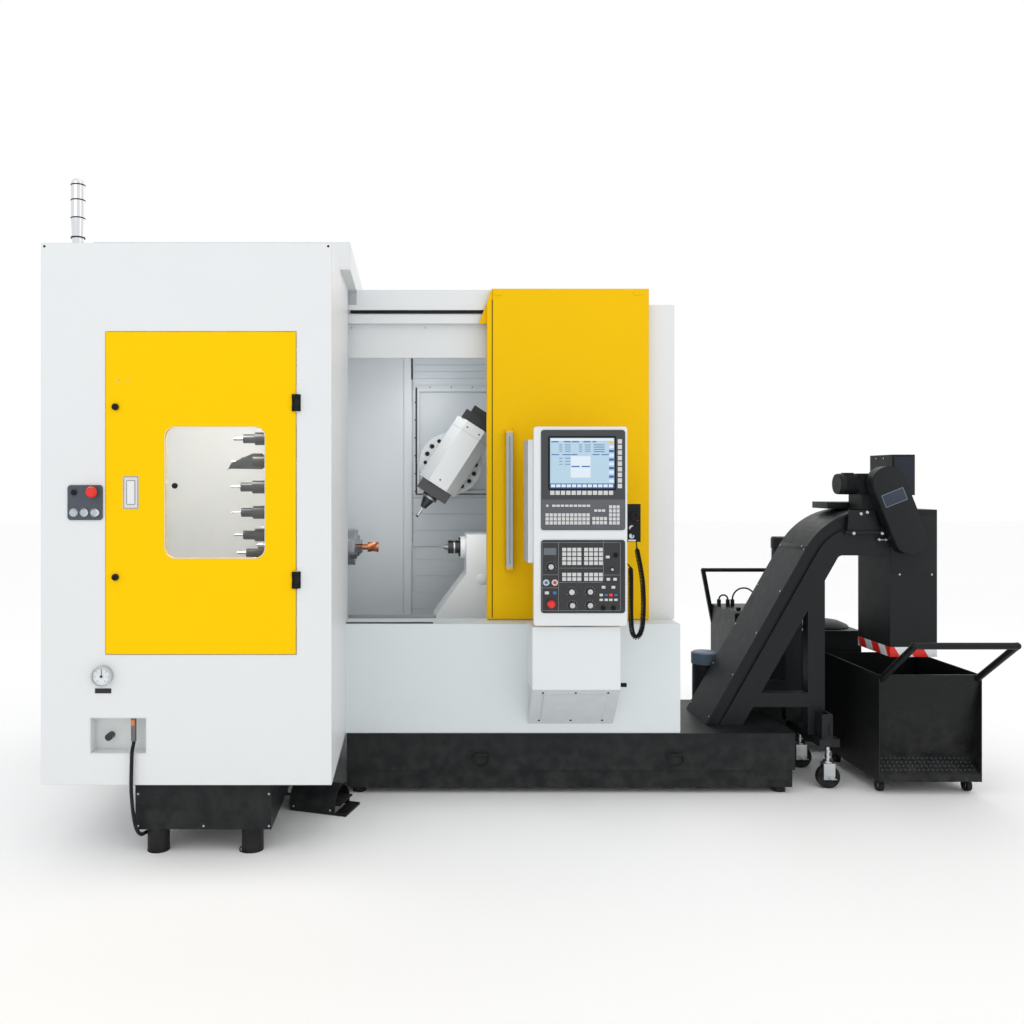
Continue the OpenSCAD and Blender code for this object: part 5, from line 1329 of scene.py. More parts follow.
@dataclass
class Magazine:
    """The tool wheel behind the cabinet door.

    Attributes:
        pitch_radius: Radius of the circle of tools.
        hub: Centre of the wheel.
        tools: Places for tools on the wheel.
    """

    pitch_radius: float = 400.0
    hub: Point = (-610, 650, 1539)
    tools: int = 22

    def build(self) -> None:
        """Dresses the wheel and its tools, and adds the wedge-shaped boring tool."""
        dress(magazine_disc=GROUND_STEEL)
        x = self.hub[0]
        dress(magazine_tools=ZonedFinish(
            "tool_holders", (0.02, 0.021, 0.023), rough=0.35, grain=Grain.POLISHED, metal=0.3, grime=0.0, wear=0.2,
            zones=(Zone((x - 400, 0, 800), (x - 155.2, 1400, 2400), (0.5, 0.51, 0.53), 0.25, 1.0),)))
        self._boring_tool()

    def _boring_tool(self) -> None:
        """A wedge-shaped bar holder with its tip, one place above the middle."""
        angle = math.tau / self.tools
        y = self.hub[1] - self.pitch_radius * math.cos(angle)
        z = self.hub[2] + self.pitch_radius * math.sin(angle)
        seat = front_seat(self.hub[0], y + 20, z)
        wedge = [(-62, -34), (-62, 36), (-104, 36), (-200, -8), (-210, -32), (-180, -32)]
        Draft().prism(seat, wedge, 40, 3).done("boring_tool", BLACKED_STEEL, "magazine")
        tip = [(-196, -10), (-204, -14), (-222, -38), (-206, -34), (-186, -28)]
        Draft().prism(seat.moved(0, 0, 14), tip, 12, 1).done("boring_tip", GROUND_STEEL, "magazine")


@dataclass
class Skirt:
    """Bed, feet, coolant tray, apron and the operator box on it.

    Attributes:
        apron_face: Y of the apron's front.
        apron_top: Z of its top.
        ring_x: X of the tray's two drop rings.
        ring_y: Y of the rings' hinge line.
        ring_z: Z of the rings' hinge line.
        vent: X, Z, width and height of the apron's vent.
    """

    apron_face: float = 780.0
    apron_top: float = 850.0
    ring_x: Pair = (334.1, 1306.7)
    ring_y: float = 763.0
    ring_z: float = 200.0
    vent: Quad = (1048, 545, 32, 20)

    def build(self) -> None:
        """Dresses the base and adds rings, vent, sill and screws."""
        dress(machine_bed=CASTING, coolant_tray=SATIN_BLACK, tray_rings=SATIN_BLACK, base_apron=SKIRT_COAT)
        self._rings()
        # Under Z 561 the box is painted a darker grey: painted shade on its lower part.
        dress(operator_box=ZonedFinish(
            "operator_box_coat_with_painted_shade", linear(226, 231, 233), rough=0.4, drift=0.015, grime=0.0, wear=0.03, edge=0.003,
            zones=(Zone((500, 560, 300), (1040, 790, 561), linear(204, 209, 212), 0.42),)))
        x, z, width, height = self.vent
        vent = Draft().slab(front_seat(x, self.apron_face, z), width, height, 2.5, 3, 0.6)
        for step in range(4):
            vent.slab(front_seat(x, self.apron_face - 2.5, z - 6 + 4 * step), width - 8, 1.4, 1.2, bevel=0.2)
        vent.done("apron_vent", BLACK_MOULD, "base")
        self._box_screws()
        self._sill()

    def _sill(self) -> None:
        """Grey trim behind the door's rail and a dark seal on the apron's edge."""
        Draft().slab(front_seat(-112, 949, self.apron_top + 11), 456, 22, 4, bevel=0.8).done(
            "sill_trim", CASTING, "base")
        Draft().slab(top_seat(-122, 812, self.apron_top), 436, 42, 1.5, bevel=0.4).done(
            "sill_seal", BLACK_MOULD, "base")

    def _rings(self) -> None:
        """D-shaped rings in the tray's clips, instead of the plain square ones."""
        half, straight, drop = 38.5, 22.0, 60.0
        arc = [math.pi * step / 16 for step in range(17)]
        bow = [(half * math.cos(a), -straight - (drop - straight) * math.sin(a)) for a in arc]
        rings = Draft()
        for x in self.ring_x:
            seat = front_seat(x, self.ring_y, self.ring_z)
            rings.loop([seat.to(u, v) for u, v in [(half, 0), *bow, (-half, 0)]], 4.0, 12)
        piece = rings.done("tray_d_rings", SATIN_BLACK, "tray_rings")
        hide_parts("tray_rings")

    def _box_screws(self) -> None:
        """Dark screws at the ends of the operator box's sloping cover."""
        slope = Vector((0, -180, 210))
        seat = Seat.facing(Vector((0, -210, -180)), at(780, 690, 457), slope)
        reach = slope.length
        places = [(x, reach * share) for x in (-158, 0, 157) for share in (0.41, -0.4)]
        Draft().screws(seat, places, 5.5, 2.2).done("operator_box_screws", BLACK_MOULD, "base")


@dataclass
class Enclosure:
    """Upper sheet metal, sliding main door and its bar handle.

    Attributes:
        beam_face: Y of the top beam's front.
        lintel_face: Y of the front of the lintel under it.
        door_face: Y of the main door's front.
        rear_face: Y of the rear wall.
    """

    beam_face: float = 950.0
    lintel_face: float = 1000.0
    door_face: float = 900.0
    rear_face: float = 2200.0

    def build(self) -> None:
        """Dresses the enclosure and the main door, and adds strips, caps, panels and screws."""
        dress(upper_enclosure=WHITE_COAT, main_door=DOOR_GOLD)
        dress(door_handle=ZonedFinish(
            "bar_handle", (0.42, 0.44, 0.46), rough=0.34, grain=Grain.BRUSHED_Z, metal=0.9, grime=0.0, wear=0.08,
            zones=(Zone((400, 800, 1090), (560, 990, 1124), linear(236, 192, 30), 0.4),
                   Zone((400, 800, 1811), (560, 990, 1850), linear(236, 192, 30), 0.4))))
        # Dark strip set inside the top beam's slot: painted shade that makes the slot read darker than its own
        # shading does.
        strip = Draft().slab(front_seat(500, self.beam_face + 8, 2443), 1660, 15, 3, bevel=0.4)
        strip.done("beam_slot_shade_strip", BLACK_MOULD, "base")
        Draft().screws(front_seat(0, self.lintel_face, 0), [(-328, 2368), (58, 2368)], 5.0, 1.5).done(
            "lintel_screws", ZINC, "base")
        # Thin black strip along the door's seam groove: painted shade that deepens the groove's shadow line.
        seal = Draft().slab(front_seat(401.5, self.door_face, 1680), 4.6, 1630, 0.8, bevel=0.2)
        seal.done("door_seam_shade_strip", BLACK_MOULD, "main_door")
        self._handle_frame()
        self._roller_covers()
        self._rear_panels()

    def _handle_frame(self) -> None:
        """Thin shadow frame of the handle's mounting strip on the door."""
        x0, x1, z0, z1 = 462, 510, 1104, 1831
        path = [at(x, self.door_face - 0.3, z) for x, z in ((x0, z0), (x1, z0), (x1, z1), (x0, z1))]
        Draft().loop(path, 1.0, 6).done("handle_frame_line", DOOR_GOLD, "main_door")

    def _rear_panels(self) -> None:
        """Screwed service panels on the rear wall, a guess at the hidden side."""
        width, height = 760.0, 1320.0
        panels, screws = Draft(), Draft()
        for x in (20, 860):
            seat = Seat.facing(Axis.Y, at(x, self.rear_face, 1660))
            panels.slab(seat, width, height, 2.0, 12, 0.8)
            rows = [(side * (width / 2 - 24), (height / 2 - 30) * share)
                    for side in (-1, 1) for share in (-1, -0.5, 0, 0.5, 1)]
            screws.screws(seat.moved(0, 0, 2.0), rows, 6.0, 1.6)
        panels.done("rear_panels", WHITE_COAT, "base")
        screws.done("rear_panel_screws", ZINC, "base")

    def _roller_covers(self) -> None:
        """Caps over the hanging rollers on the door's upper edge."""
        caps = Draft()
        for x in (430, 1150):
            caps.slab(front_seat(x, self.door_face + 1.0, 2528), 46, 20, 3, 4, 0.8)
        caps.done("door_roller_caps", DOOR_GOLD, "main_door")


@dataclass
class WorkArea:
    """Spindle, milling head, tailstock and the liner round them.

    Attributes:
        head: Centre of the tilting head.
        nose: Direction from the head's centre to its nose, in the X-Z plane.
        head_face: Y of the head's front ridge.
        disc_face: Y of the tilt disc's front.
        liner_face: Y of the liner's front.
        axis: Y and Z of the spindle's axis.
        bolt_circle: Radius of the tilt disc's circle of screws.
        bolts: Screws on the whole circle.
        half_width: Distance across from which the head leaves them in view.
        pocket_from: Distance across from which the disc has pockets for them.
        pocket_deep: Depth of the pockets.
    """

    head: Point = (212, 1400, 1664)
    nose: Pair = (-0.544639, -0.838671)
    head_face: float = 1290.0
    disc_face: float = 1496.0
    liner_face: float = 1862.0
    axis: Pair = (1400.0, 1190.0)
    bolt_circle: float = 146.6
    bolts: int = 18
    half_width: float = 120.0
    pocket_from: float = 131.5
    pocket_deep: float = 6.0

    def build(self) -> None:
        """Dresses the work area and adds its small pieces."""
        dress(work_liner=INNER_COAT, headstock=INNER_COAT, spindle_chuck=GROUND_STEEL, jaw_a=JAW_STEEL,
              jaw_b=JAW_STEEL, jaw_c=JAW_STEEL, workpiece=COPPER, tool_spindle=BLACKED_STEEL,
              tailstock_quill=BLACKED_STEEL, live_centre=GROUND_STEEL)
        dress(saddle_frame=ZonedFinish(
            "saddle_coat", linear(208, 215, 220), rough=0.34, grime=0.0, wear=0.05,
            zones=(Zone((9, 1840, 1477), (20, self.liner_face - 0.6, 2178), linear(26, 27, 29), 0.5),
                   Zone((9, 1840, 1477), (900, self.liner_face - 0.6, 1487), linear(26, 27, 29), 0.5))))
        clean = partial(Finish, grime=0.0)
        dress(carriage=clean("carriage_coat", linear(214, 220, 224), rough=0.34, wear=0.05),
              tool_head=clean("head_coat", linear(184, 187, 188), rough=0.4, coat=0.05, wear=0.03, edge=0.004),
              head_covers=moulded("head_cover_black", linear(30, 32, 34), rough=0.35, wear=0.1),
              tailstock=clean("tailstock_coat", linear(230, 233, 233), rough=0.34, wear=0.03, edge=0.004))
        self._head_details()
        self._tool_details()
        self._tailstock_details()
        self._chuck_details()
        self._frame_screws()

    def _head_seat(self, depth: float) -> Seat:
        """A seat on the head, up towards its rear.

        Args:
            depth: Y of the face.

        Returns:
            The seat at the head's centre.
        """
        up = Vector((-self.nose[0], 0, -self.nose[1]))
        return Seat.facing(Axis.FRONT, at(self.head[0], depth, self.head[2]), up)

    def _head_details(self) -> None:
        """Screws, a cover seam and the socket screws of the tilt disc."""
        seat = self._head_seat(self.head_face)
        Draft().screws(seat, [(-38, 214), (40, 214), (-5, -114)], 5.0, 1.0).done(
            "head_screws", BLACKED_STEEL, "tool_head")
        seam = [seat.to(u, 188, w) for u, w in ((-117.8, -70.2), (-59, 0.3), (59, 0.3), (117.8, -70.2))]
        Draft().tube(seam, 1.0, 6).done("head_cover_seam", CASTING, "tool_head")
        caps = Draft()
        disc = self._head_seat(self.disc_face)
        for step in range(self.bolts):
            angle = math.tau * (step + 0.5) / self.bolts
            across = self.bolt_circle * math.cos(angle)
            if abs(across) > self.half_width:
                proud = 0.0 if abs(across) > self.pocket_from else self.pocket_deep
                caps.turned(disc.moved(across, self.bolt_circle * math.sin(angle), proud),
                            [(11, -6), (11, 3), (10, 4), (6, 4), (5.6, 0), (0, 0)], 20)
        caps.done("tilt_disc_screws", BLACK_MOULD, "tool_head")

    def _tool_details(self) -> None:
        """Holder flange and bright drill on the milling spindle."""
        axis = Vector((self.nose[0], 0, self.nose[1]))
        seat = Seat.facing(axis, at(*self.head), Vector((0, 1, 0)))
        grip = Draft().turned(seat.moved(0, 0, 226), [(35, 0), (46.2, 0), (46.2, 9), (44, 12), (35, 12)], 40)
        grip.done("holder_flange", JAW_STEEL, "tool_spindle")
        drill = [(7.4, 300)] + [(7.4 - 0.2 * (k % 2), 300 + 3 * k) for k in range(1, 18)] + [(0, 361)]
        Draft().turned(seat, [(0, 300)] + drill, 20).done("drill_bit", GROUND_STEEL, "tool_spindle")

    def _tailstock_details(self) -> None:
        """Round plug on the side, flange screws and a bright ring on the quill's nut."""
        plug = front_seat(376, 1270, 1020)
        Draft().turned(plug, [(0, 0), (30, 0), (30, 1.5), (28, 3), (0, 3)], 40).done(
            "tailstock_plug", WHITE_COAT, "tailstock")
        flange = Seat.facing(Axis.LEFT, at(262, *self.axis))
        Draft().screws(flange, hexagon(53), 6.5, 9.0).done("quill_flange_screws", BLACKED_STEEL, "tailstock")
        ring = Seat.facing(Axis.LEFT, at(232, *self.axis))
        Draft().turned(ring, [(36, 0), (38.4, 0), (38.4, 8), (36, 8)], 40).done(
            "quill_bright_ring", GROUND_STEEL, "quill")

    def _chuck_details(self) -> None:
        """Bush ring and face screws of the chuck."""
        face = Seat.facing(Axis.X, at(-332, *self.axis))
        places = [(78 * math.cos(math.radians(a)), 78 * math.sin(math.radians(a))) for a in (30, 150, 270)]
        Draft().screws(face, places, 7.0, 0.8).done("chuck_screws", BLACKED_STEEL, "spindle")
        Draft().turned(face, ring_profile(22, 19, 1.2), 40).done("chuck_bush_ring", JAW_STEEL, "spindle")

    def _frame_screws(self) -> None:
        """Small screws on the moving frame, and a screwed trim on the liner's seam."""
        seat = front_seat(0, self.liner_face - 6, 0)
        places = [(7, 1500 + 110 * k) for k in range(6)] + [(100 + 130 * k, 2143) for k in range(5)]
        Draft().screws(seat, places, 4.0, 1.0).done("saddle_screws", BLACKED_STEEL, "saddle")
        liner = front_seat(0, self.liner_face, 0)
        trim = Draft().slab(liner.moved(-33.5, 1545), 49, 1290, 4.0, bevel=0.8)
        trim.done("liner_seam_trim", INNER_COAT, "base")
        Draft().screws(liner.moved(0, 0, 4.0), [(-44, z) for z in (930, 1130, 1400, 1690, 1990)], 4.0, 1.2).done(
            "liner_screws", BLACK_MOULD, "base")


class KeyTint(Enum):
    """Colours of the panel's push keys."""

    PALE = PALE_KEYS
    BLUE = BLUE_MOULD
    RED = RED_LAMP


@dataclass
class OperatorPanel:
    """The swivelling control panel with its display, keys and hand pendant.

    Attributes:
        face: Y of the dark plates' front.
        display: Left, bottom, width and height of the screen.
        screen_face: Y of the screen's front.
        pendant_face: Y of the pendant's front.
    """

    face: float = 566.0
    display: Quad = (649, 1531, 305, 239)
    screen_face: float = 563.0
    pendant_face: float = 575.0

    def build(self) -> None:
        """Dresses the panel and adds what the operator touches."""
        dress(panel_housing=ZonedFinish(
            "panel_shell", linear(226, 230, 232), rough=0.38, drift=0.015, grime=0.0, wear=0.02, edge=0.003,
            zones=(Zone((500, 600.5, 1100), (572.5, 900, 1800), linear(186, 192, 203), 0.4),)))
        dress(panel_faces=PANEL_COAT, panel_screen=DISPLAY, panel_keys=PALE_KEYS, panel_estop=RED_MOULD,
              override_knob=SILVER_CAP, pendant=BLACK_MOULD)
        self._screen_fields()
        self._key_deck()
        self._lower_plate()
        self._pendant()

    def _field(self, draft: Draft, left: float, bottom: float, width: float, height: float, rise: float) -> None:
        """Adds a flat field to the screen.

        Args:
            draft: The draft that takes it.
            left: Share of the screen from its left.
            bottom: Share from its bottom.
            width: Share of the width.
            height: Share of the height.
            rise: Millimetres in front of the glass.
        """
        x, z, wide, tall = self.display
        seat = front_seat(x + (left + width / 2) * wide, self.screen_face, z + (bottom + height / 2) * tall)
        draft.slab(seat, width * wide, height * tall, rise, bevel=0)

    def _screen_fields(self) -> None:
        """Plain bars and fields of a control screen, with no words."""
        blue, pale, ink, amber = Draft(), Draft(), Draft(), Draft()
        self._field(pale, 0.01, 0.945, 0.98, 0.05, 0.3)
        for left, width in ((0.02, 0.11), (0.21, 0.11), (0.34, 0.11), (0.52, 0.11), (0.66, 0.06)):
            self._field(blue, left, 0.915, width, 0.022, 0.3)
        for left, width in ((0.02, 0.12), (0.19, 0.13), (0.33, 0.09), (0.66, 0.11), (0.80, 0.12)):
            self._field(blue, left, 0.66, width, 0.018, 0.3)
        self._field(pale, 0.32, 0.21, 0.31, 0.43, 0.3)
        for left in (0.33, 0.49):
            self._field(blue, left, 0.42, 0.13, 0.025, 0.5)
        for row in range(4):
            for left, width in ((0.14, 0.05), (0.23, 0.09), (0.45, 0.05), (0.54, 0.09)):
                self._field(ink, left, 0.73 + 0.042 * row, width, 0.014, 0.3)
            self._field(ink, 0.68, 0.72 + 0.045 * row, 0.17, 0.018, 0.3)
        for row in range(3):
            for left, width in ((0.14, 0.05), (0.23, 0.09)):
                self._field(ink, left, 0.47 + 0.06 * row, width, 0.014, 0.3)
        for row in range(9):
            self._field(blue if row % 2 else pale, 0.92, 0.12 + 0.085 * row, 0.075, 0.05, 0.4)
        self._field(amber, 0.92, 0.885, 0.07, 0.045, 0.5)
        self._field(blue, 0.0, 0.0, 1.0, 0.095, 0.3)
        for step in range(12):
            self._field(pale, 0.012 + 0.082 * step, 0.02, 0.066, 0.055, 0.5)
        blue.done("screen_bars", DISPLAY_BLUE, "panel")
        pale.done("screen_fields", DISPLAY_PALE, "panel")
        ink.done("screen_lines", DISPLAY_INK, "panel")
        amber.done("screen_mark", DISPLAY_AMBER, "panel")
        x, z, wide, tall = self.display
        frame_line = [front_seat(x + wide / 2, self.face, z + tall / 2).to(u, v, 0.6)
                      for u, v in rounded(wide + 12, tall + 12, 3, 3)]
        Draft().loop(frame_line, 3.0, 6).done("screen_bezel", PLATE_BLACK, "panel")

    def _key_deck(self) -> None:
        """Lighter deck behind the keyboard."""
        deck = Draft().slab(front_seat(806, self.face, 1405), 398, 145, 0.8, 3, 0.3)
        deck.done("key_deck", moulded("deck_coat", linear(88, 91, 97), rough=0.5, wear=0.02), "panel", "panel_grey")

    def _lower_plate(self) -> None:
        """Frame lines, knobs, buttons, keys and counter window of the machine's own plate."""
        lines = Draft()
        seat = front_seat(0, self.face, 0)
        for x, z, width, height in ((689, 1109, 1.6, 322), (903, 1190, 1.6, 186), (796, 1150, 212, 1.6),
                                    (648, 1118, 80, 1.6), (648, 1056, 80, 1.6), (796, 1082, 212, 1.6),
                                    (944, 1117, 80, 1.6), (796, 1272, 372, 1.6), (796, 947, 372, 1.6),
                                    (611, 1109, 1.6, 326), (984, 1109, 1.6, 326)):
            lines.slab(seat.moved(x, z), width, height, 0.4, bevel=0)
        lines.done("plate_lines", Finish("plate_line", linear(150, 154, 160), rough=0.5, grime=0.0), "panel",
                   "grey_plastic")
        skirts, caps = Draft(), Draft()
        for x, z, radius in ((652, 1156, 15), (839, 1037, 15), (754, 972, 15), (839, 972, 15), (943, 1144, 8)):
            self._knob(skirts, caps, x, z, radius)
        skirts.done("knob_skirts", BLACK_MOULD, "panel")
        caps.done("knob_caps", SILVER_CAP, "panel")
        self._push_buttons()
        self._tinted_keys()
        window = Draft().slab(front_seat(648, self.face, 1229), 60, 34, 1.2, 2, 0.4)
        window.done("counter_window", Finish("counter_glass", linear(100, 106, 114), rough=0.2, grain=Grain.POLISHED,
                                             grime=0.0), "panel", "black_plastic")
        marks = Draft()
        for x, z, radius in ((652, 1156, 25), (839, 1037, 24), (754, 972, 24), (839, 972, 24), (750.4, 1036.2, 24)):
            for step in range(9):
                angle = math.radians(210 - 30 * step)
                marks.slab(seat.moved(x + radius * math.cos(angle), z + radius * math.sin(angle)), 2, 2, 0.3, bevel=0)
        marks.done("knob_marks", PALE_KEYS, "panel")

    def _knob(self, skirts: Draft, caps: Draft, x: float, z: float, radius: float) -> None:
        """Adds a rotary knob: dark skirt, silver cap and grip bar.

        Args:
            skirts: Draft of the dark skirts.
            caps: Draft of the silver caps.
            x: Place across.
            z: Place up.
            radius: Knob radius.
        """
        seat = front_seat(x, self.face, z)
        skirts.turned(seat, [(0, 0), (radius * 1.15, 0), (radius * 1.15, 2), (radius, 4), (0, 4)], 28)
        caps.turned(seat.moved(0, 0, 4),
                    [(0, 0), (radius * 0.92, 0), (radius * 0.86, 9), (radius * 0.7, 11), (0, 11)], 28)
        caps.slab(seat.moved(0, 0, 15), radius * 0.36, radius * 1.5, 3, radius * 0.15, 0.6)

    def _push_buttons(self) -> None:
        """Two ringed buttons, one blue and one red."""
        rings, blue, red = Draft(), Draft(), Draft()
        for x, target in ((630, blue), (671, red)):
            seat = front_seat(x, self.face, 1081)
            rings.turned(seat, ring_profile(15, 8, 5), 32)
            target.turned(seat, [(0, 0), (8.4, 0), (8.4, 5), (6, 6.5), (0, 7)], 28)
        rings.done("button_rings", PALE_KEYS, "panel")
        blue.done("start_button", BLUE_MOULD, "panel")
        red.done("stop_button", RED_MOULD, "panel")

    def _tinted_keys(self) -> None:
        """Keys with their own colours and three turn switches."""
        places = {
            KeyTint.PALE: ((633, 1032, 20, 14), (923, 1203, 18, 13), (926, 1097, 17, 13), (958, 1097, 17, 13),
                           (903, 1059, 18, 13), (950, 1059, 18, 13), (892, 1022, 16, 12), (892, 999, 16, 11),
                           (916, 999, 16, 11), (938, 999, 16, 11), (962, 999, 16, 11)),
            KeyTint.BLUE: ((670, 1032, 17, 14), (916, 1022, 14, 9), (962, 1022, 14, 9)),
            KeyTint.RED: ((938, 1022, 16, 13),),
        }
        for tint, keys in places.items():
            draft = Draft()
            for x, z, width, height in keys:
                draft.slab(front_seat(x, self.face, z), width, height, 4.6, 1.6, 0.8)
            draft.done(f"tinted_keys_{tint.name.lower()}", tint.value, "panel", "grey_plastic")
        locks = Draft()
        for x, z in ((902, 960), (951, 960), (962, 1212)):
            seat = front_seat(x, self.face, z)
            locks.turned(seat, [(0, 0), (11, 0), (11, 6), (9, 8), (0, 8)], 24)
            locks.slab(seat.moved(0, 0, 8), 4, 15, 5, 1.2, 0.6)
        locks.done("turn_switches", BLACK_MOULD, "panel")

    def _pendant(self) -> None:
        """Hand wheel, buttons, red dot and blank plate of the pendant."""
        wheel = front_seat(1052, front_of("pendant"), 1396)
        Draft().turned(wheel, [(0, 0), (22.6, 0), (22.6, 2), (20.5, 4), (0, 4.4)], 40).turned(
            wheel.moved(9, 8, 4), [(0, 0), (5, 0), (5, 7), (3.6, 9), (0, 9)], 20).done(
            "hand_wheel", PLATE_BLACK, "panel")
        front = self.pendant_face
        rings, dots = Draft(), Draft()
        for x, z in ((1040, 1341), (1040, 1303)):
            seat = front_seat(x, front, z)
            rings.turned(seat, [(0, 0), (12.5, 0), (12.5, 3), (10, 5), (0, 5)], 28)
            dots.slab(seat.moved(2, 0, 5), 6, 14, 1.6, 2, 0.4)
        rings.done("pendant_buttons", PALE_KEYS, "panel")
        dots.done("pendant_button_marks", BLUE_MOULD, "panel")
        Draft().turned(front_seat(1066, front, 1378), [(0, 0), (4, 0), (4, 3), (0, 4)], 20).done(
            "pendant_red_dot", RED_MOULD, "panel")
        Draft().slab(front_seat(1042, front, 1281), 36, 8, 0.8, 1, 0.2).done("pendant_bare_plate", PALE_KEYS, "panel")


@dataclass
class ChipConveyor:
    """Chip conveyor with its discharge chute, drive and casters.

    Attributes:
        face: Y of the near side.
        far: Y of the far side.
        chute: Lowest and highest X of the chute.
        chute_foot: Z of the chute's lower edge.
        seam: Z of the seam across the chute.
        tape: Height of the marking tape.
        guard_face: Y of the chain guard's cover.
        guard: X and Z of the middles of its two round ends.
        guard_r: Radius of the ends.
        wheels: Y of the two casters.
        wheel_x: X of the casters.
        wheel_r: Radius of the casters' wheels.
    """

    face: float = 930.0
    far: float = 1270.0
    chute: Pair = (2459.0, 2702.0)
    chute_foot: float = 656.0
    seam: float = 1082.0
    tape: float = 51.0
    guard_face: float = 860.0
    guard: tuple[Pair, ...] = ((2418.0, 1555.0), (2530.0, 1275.0))
    guard_r: float = 85.0
    wheels: Pair = (876.0, 1211.0)
    wheel_x: float = 2112.0
    wheel_r: float = 58.0

    def build(self) -> None:
        """Dresses the conveyor and adds its sheet, drive and caster details."""
        dress(chip_conveyor=CONVEYOR_BLACK, discharge_chute=CONVEYOR_BLACK, conveyor_drive=DRIVE_BLACK,
              stand_casters=ZINC, stand_wheels=RUBBER)
        self._chute()
        self._cover_screws()
        self._bracket()
        self._guard_cover()
        self._motor()
        self._control_box()
        self._casters()

    def _chute(self) -> None:
        """Hatch, screws and marking tape of the chute."""
        x0, x1 = self.chute
        middle, wide = (x0 + x1) / 2, x1 - x0
        panel = Draft().slab(front_seat(middle, self.face, self.seam + 155), wide - 8, 300, 1.2, bevel=0.4)
        panel.done("chute_hatch", CONVEYOR_BLACK, "base")
        Draft().screws(front_seat(0, self.face - 1.2, 0), [(x0 + 49, self.seam), (x1 - 28, self.seam)],
                       5.0, 2.2).done("chute_screws", ZINC, "base")
        tape = Draft().slab(front_seat(middle, self.face, self.chute_foot + self.tape / 2), wide, self.tape, 0.5,
                            bevel=0.1)
        deep = self.far - self.face
        side = Seat.facing(Axis.LEFT, at(x0, self.face + deep / 2, self.chute_foot + self.tape / 2))
        tape.slab(side, deep, self.tape, 0.5, bevel=0.1)
        tape.done("chute_tape", MARKING_TAPE, "base")

    def _cover_screws(self) -> None:
        """Screws along both edges of the incline's cover, its seam, the head's hatch and the jack's channel."""
        tilt = math.radians(60.4)
        up = Vector((math.cos(tilt), 0, math.sin(tilt)))
        seat = Seat.facing(Vector((-up.z, 0, up.x)), at(2026, (self.face + self.far) / 2, 1219), up)
        places = [(side, -10 - 249 * step) for side in (154, -154) for step in range(5)] + [(110, 6)]
        Draft().screws(seat, places, 5.0, 2.0).done("cover_screws", ZINC, "base")
        cover = Draft().slab(seat.moved(0, -2), self.far - self.face - 4, 22, 1.6, bevel=0.5)
        cover.slab(top_seat(2320, 1168, 1417), 240, 186, 35, 3, 1.5)
        jack = [(-28, -40), (28, -40), (28, 40), (18, 40), (18, -28), (-18, -28), (-18, 40), (-28, 40)]
        cover.prism(top_seat(2100, 889, 253), jack, 125, 1.2)
        cover.done("conveyor_covers", CONVEYOR_BLACK, "base")
        # Dark plate on the jack channel's front: painted shade standing in for the shaded inside of its slot.
        Draft().slab(front_seat(2108, 849, 302), 13, 62, 0.8, 3, 0.2).done(
            "jack_slot_shade", PLATE_BLACK, "base", "black_paint")

    def _bracket(self) -> None:
        """Slide plate under the drive with its bolts, and the chain tension stud."""
        plate = Draft().prism(front_seat(0, self.face, 0),
                              [(2231, 1306), (2400, 1306), (2372, 1415), (2240, 1415)], 16, 2.0)
        plate.slab(front_seat(2318, self.face, 1300), 196, 14, 26, bevel=1.5)
        plate.done("drive_slide_plate", CONVEYOR_BLACK, "base")
        bolts = Draft()
        for x, z, out in ((2258, 1296, 26), (2404, 1296, 26), (2300, 1396, 16), (2332, 1404, 16)):
            bolts.prism(front_seat(x, self.face - out, z), hexagon(9.0), 6.5, 0.8)
            bolts.turned(front_seat(x, self.face - out - 6.5, z), [(5, -1), (5, 5), (4, 6), (0, 6)], 16)
        stud = Seat.facing(Axis.X, at(2386, self.face - 14, 1264))
        bolts.turned(stud, [(5, 0), (5, 56), (4, 58), (0, 58)], 14)
        for reach in (6, 40):
            bolts.prism(stud.moved(0, 0, reach), hexagon(9.0), 8, 0.8)
        bolts.done("drive_bolts", ZINC, "base")

    def _guard_cover(self) -> None:
        """Pressed cover of the chain guard with a blank plate and its screws."""
        (ax, az), (bx, bz) = self.guard
        along = Vector((bx - ax, 0, bz - az)).normalized()
        seat = Seat.facing(Axis.FRONT, at(ax, self.guard_face, az), -along)
        reach = math.hypot(bx - ax, bz - az)
        radius = self.guard_r - 3
        arc = [math.pi * step / 20 for step in range(21)]
        outline = [(radius * math.cos(a), radius * math.sin(a)) for a in arc]
        outline += [(-radius * math.cos(a), -reach - radius * math.sin(a)) for a in arc]
        Draft().prism(seat, outline, 2.5, 1.2).done("chain_guard_cover", CONVEYOR_BLACK, "base")
        spot = seat.moved(-3, -0.26 * reach, 2.5)
        Draft().slab(spot, 120, 68, 0.8, 3, 0.3).done("guard_plate_rim", CAP_GREY, "base", "zinc")
        Draft().slab(spot, 112, 60, 1.4, 2, 0.4).done("guard_blank_plate", BLANK_PLATE, "base")

    def _motor(self) -> None:
        """Fan cover, cooling fins and terminal box of the gearmotor."""
        x0, x1, radius, z, y = 2215, 2311, 53.0, 1549.0, 1000.0
        axis = Seat.facing(Axis.X, at(x0, y, z))
        fins = Draft()
        for step in range(9):
            fins.turned(axis.moved(0, 0, 34 + 6 * step), ring_profile(radius + 2.2, radius - 2, 2.4), 40)
        fins.turned(axis, [(0, 0.6), (30, 0.6), (44, 2), (radius + 1.5, 9), (radius + 1.5, 30), (radius - 2, 30)], 40)
        top = top_seat((x0 + x1) / 2 + 8, y, z + radius - 8)
        fins.slab(top, 50, 44, 14, 4, 1.5)
        fins.done("motor_fins", DRIVE_BLACK, "base")

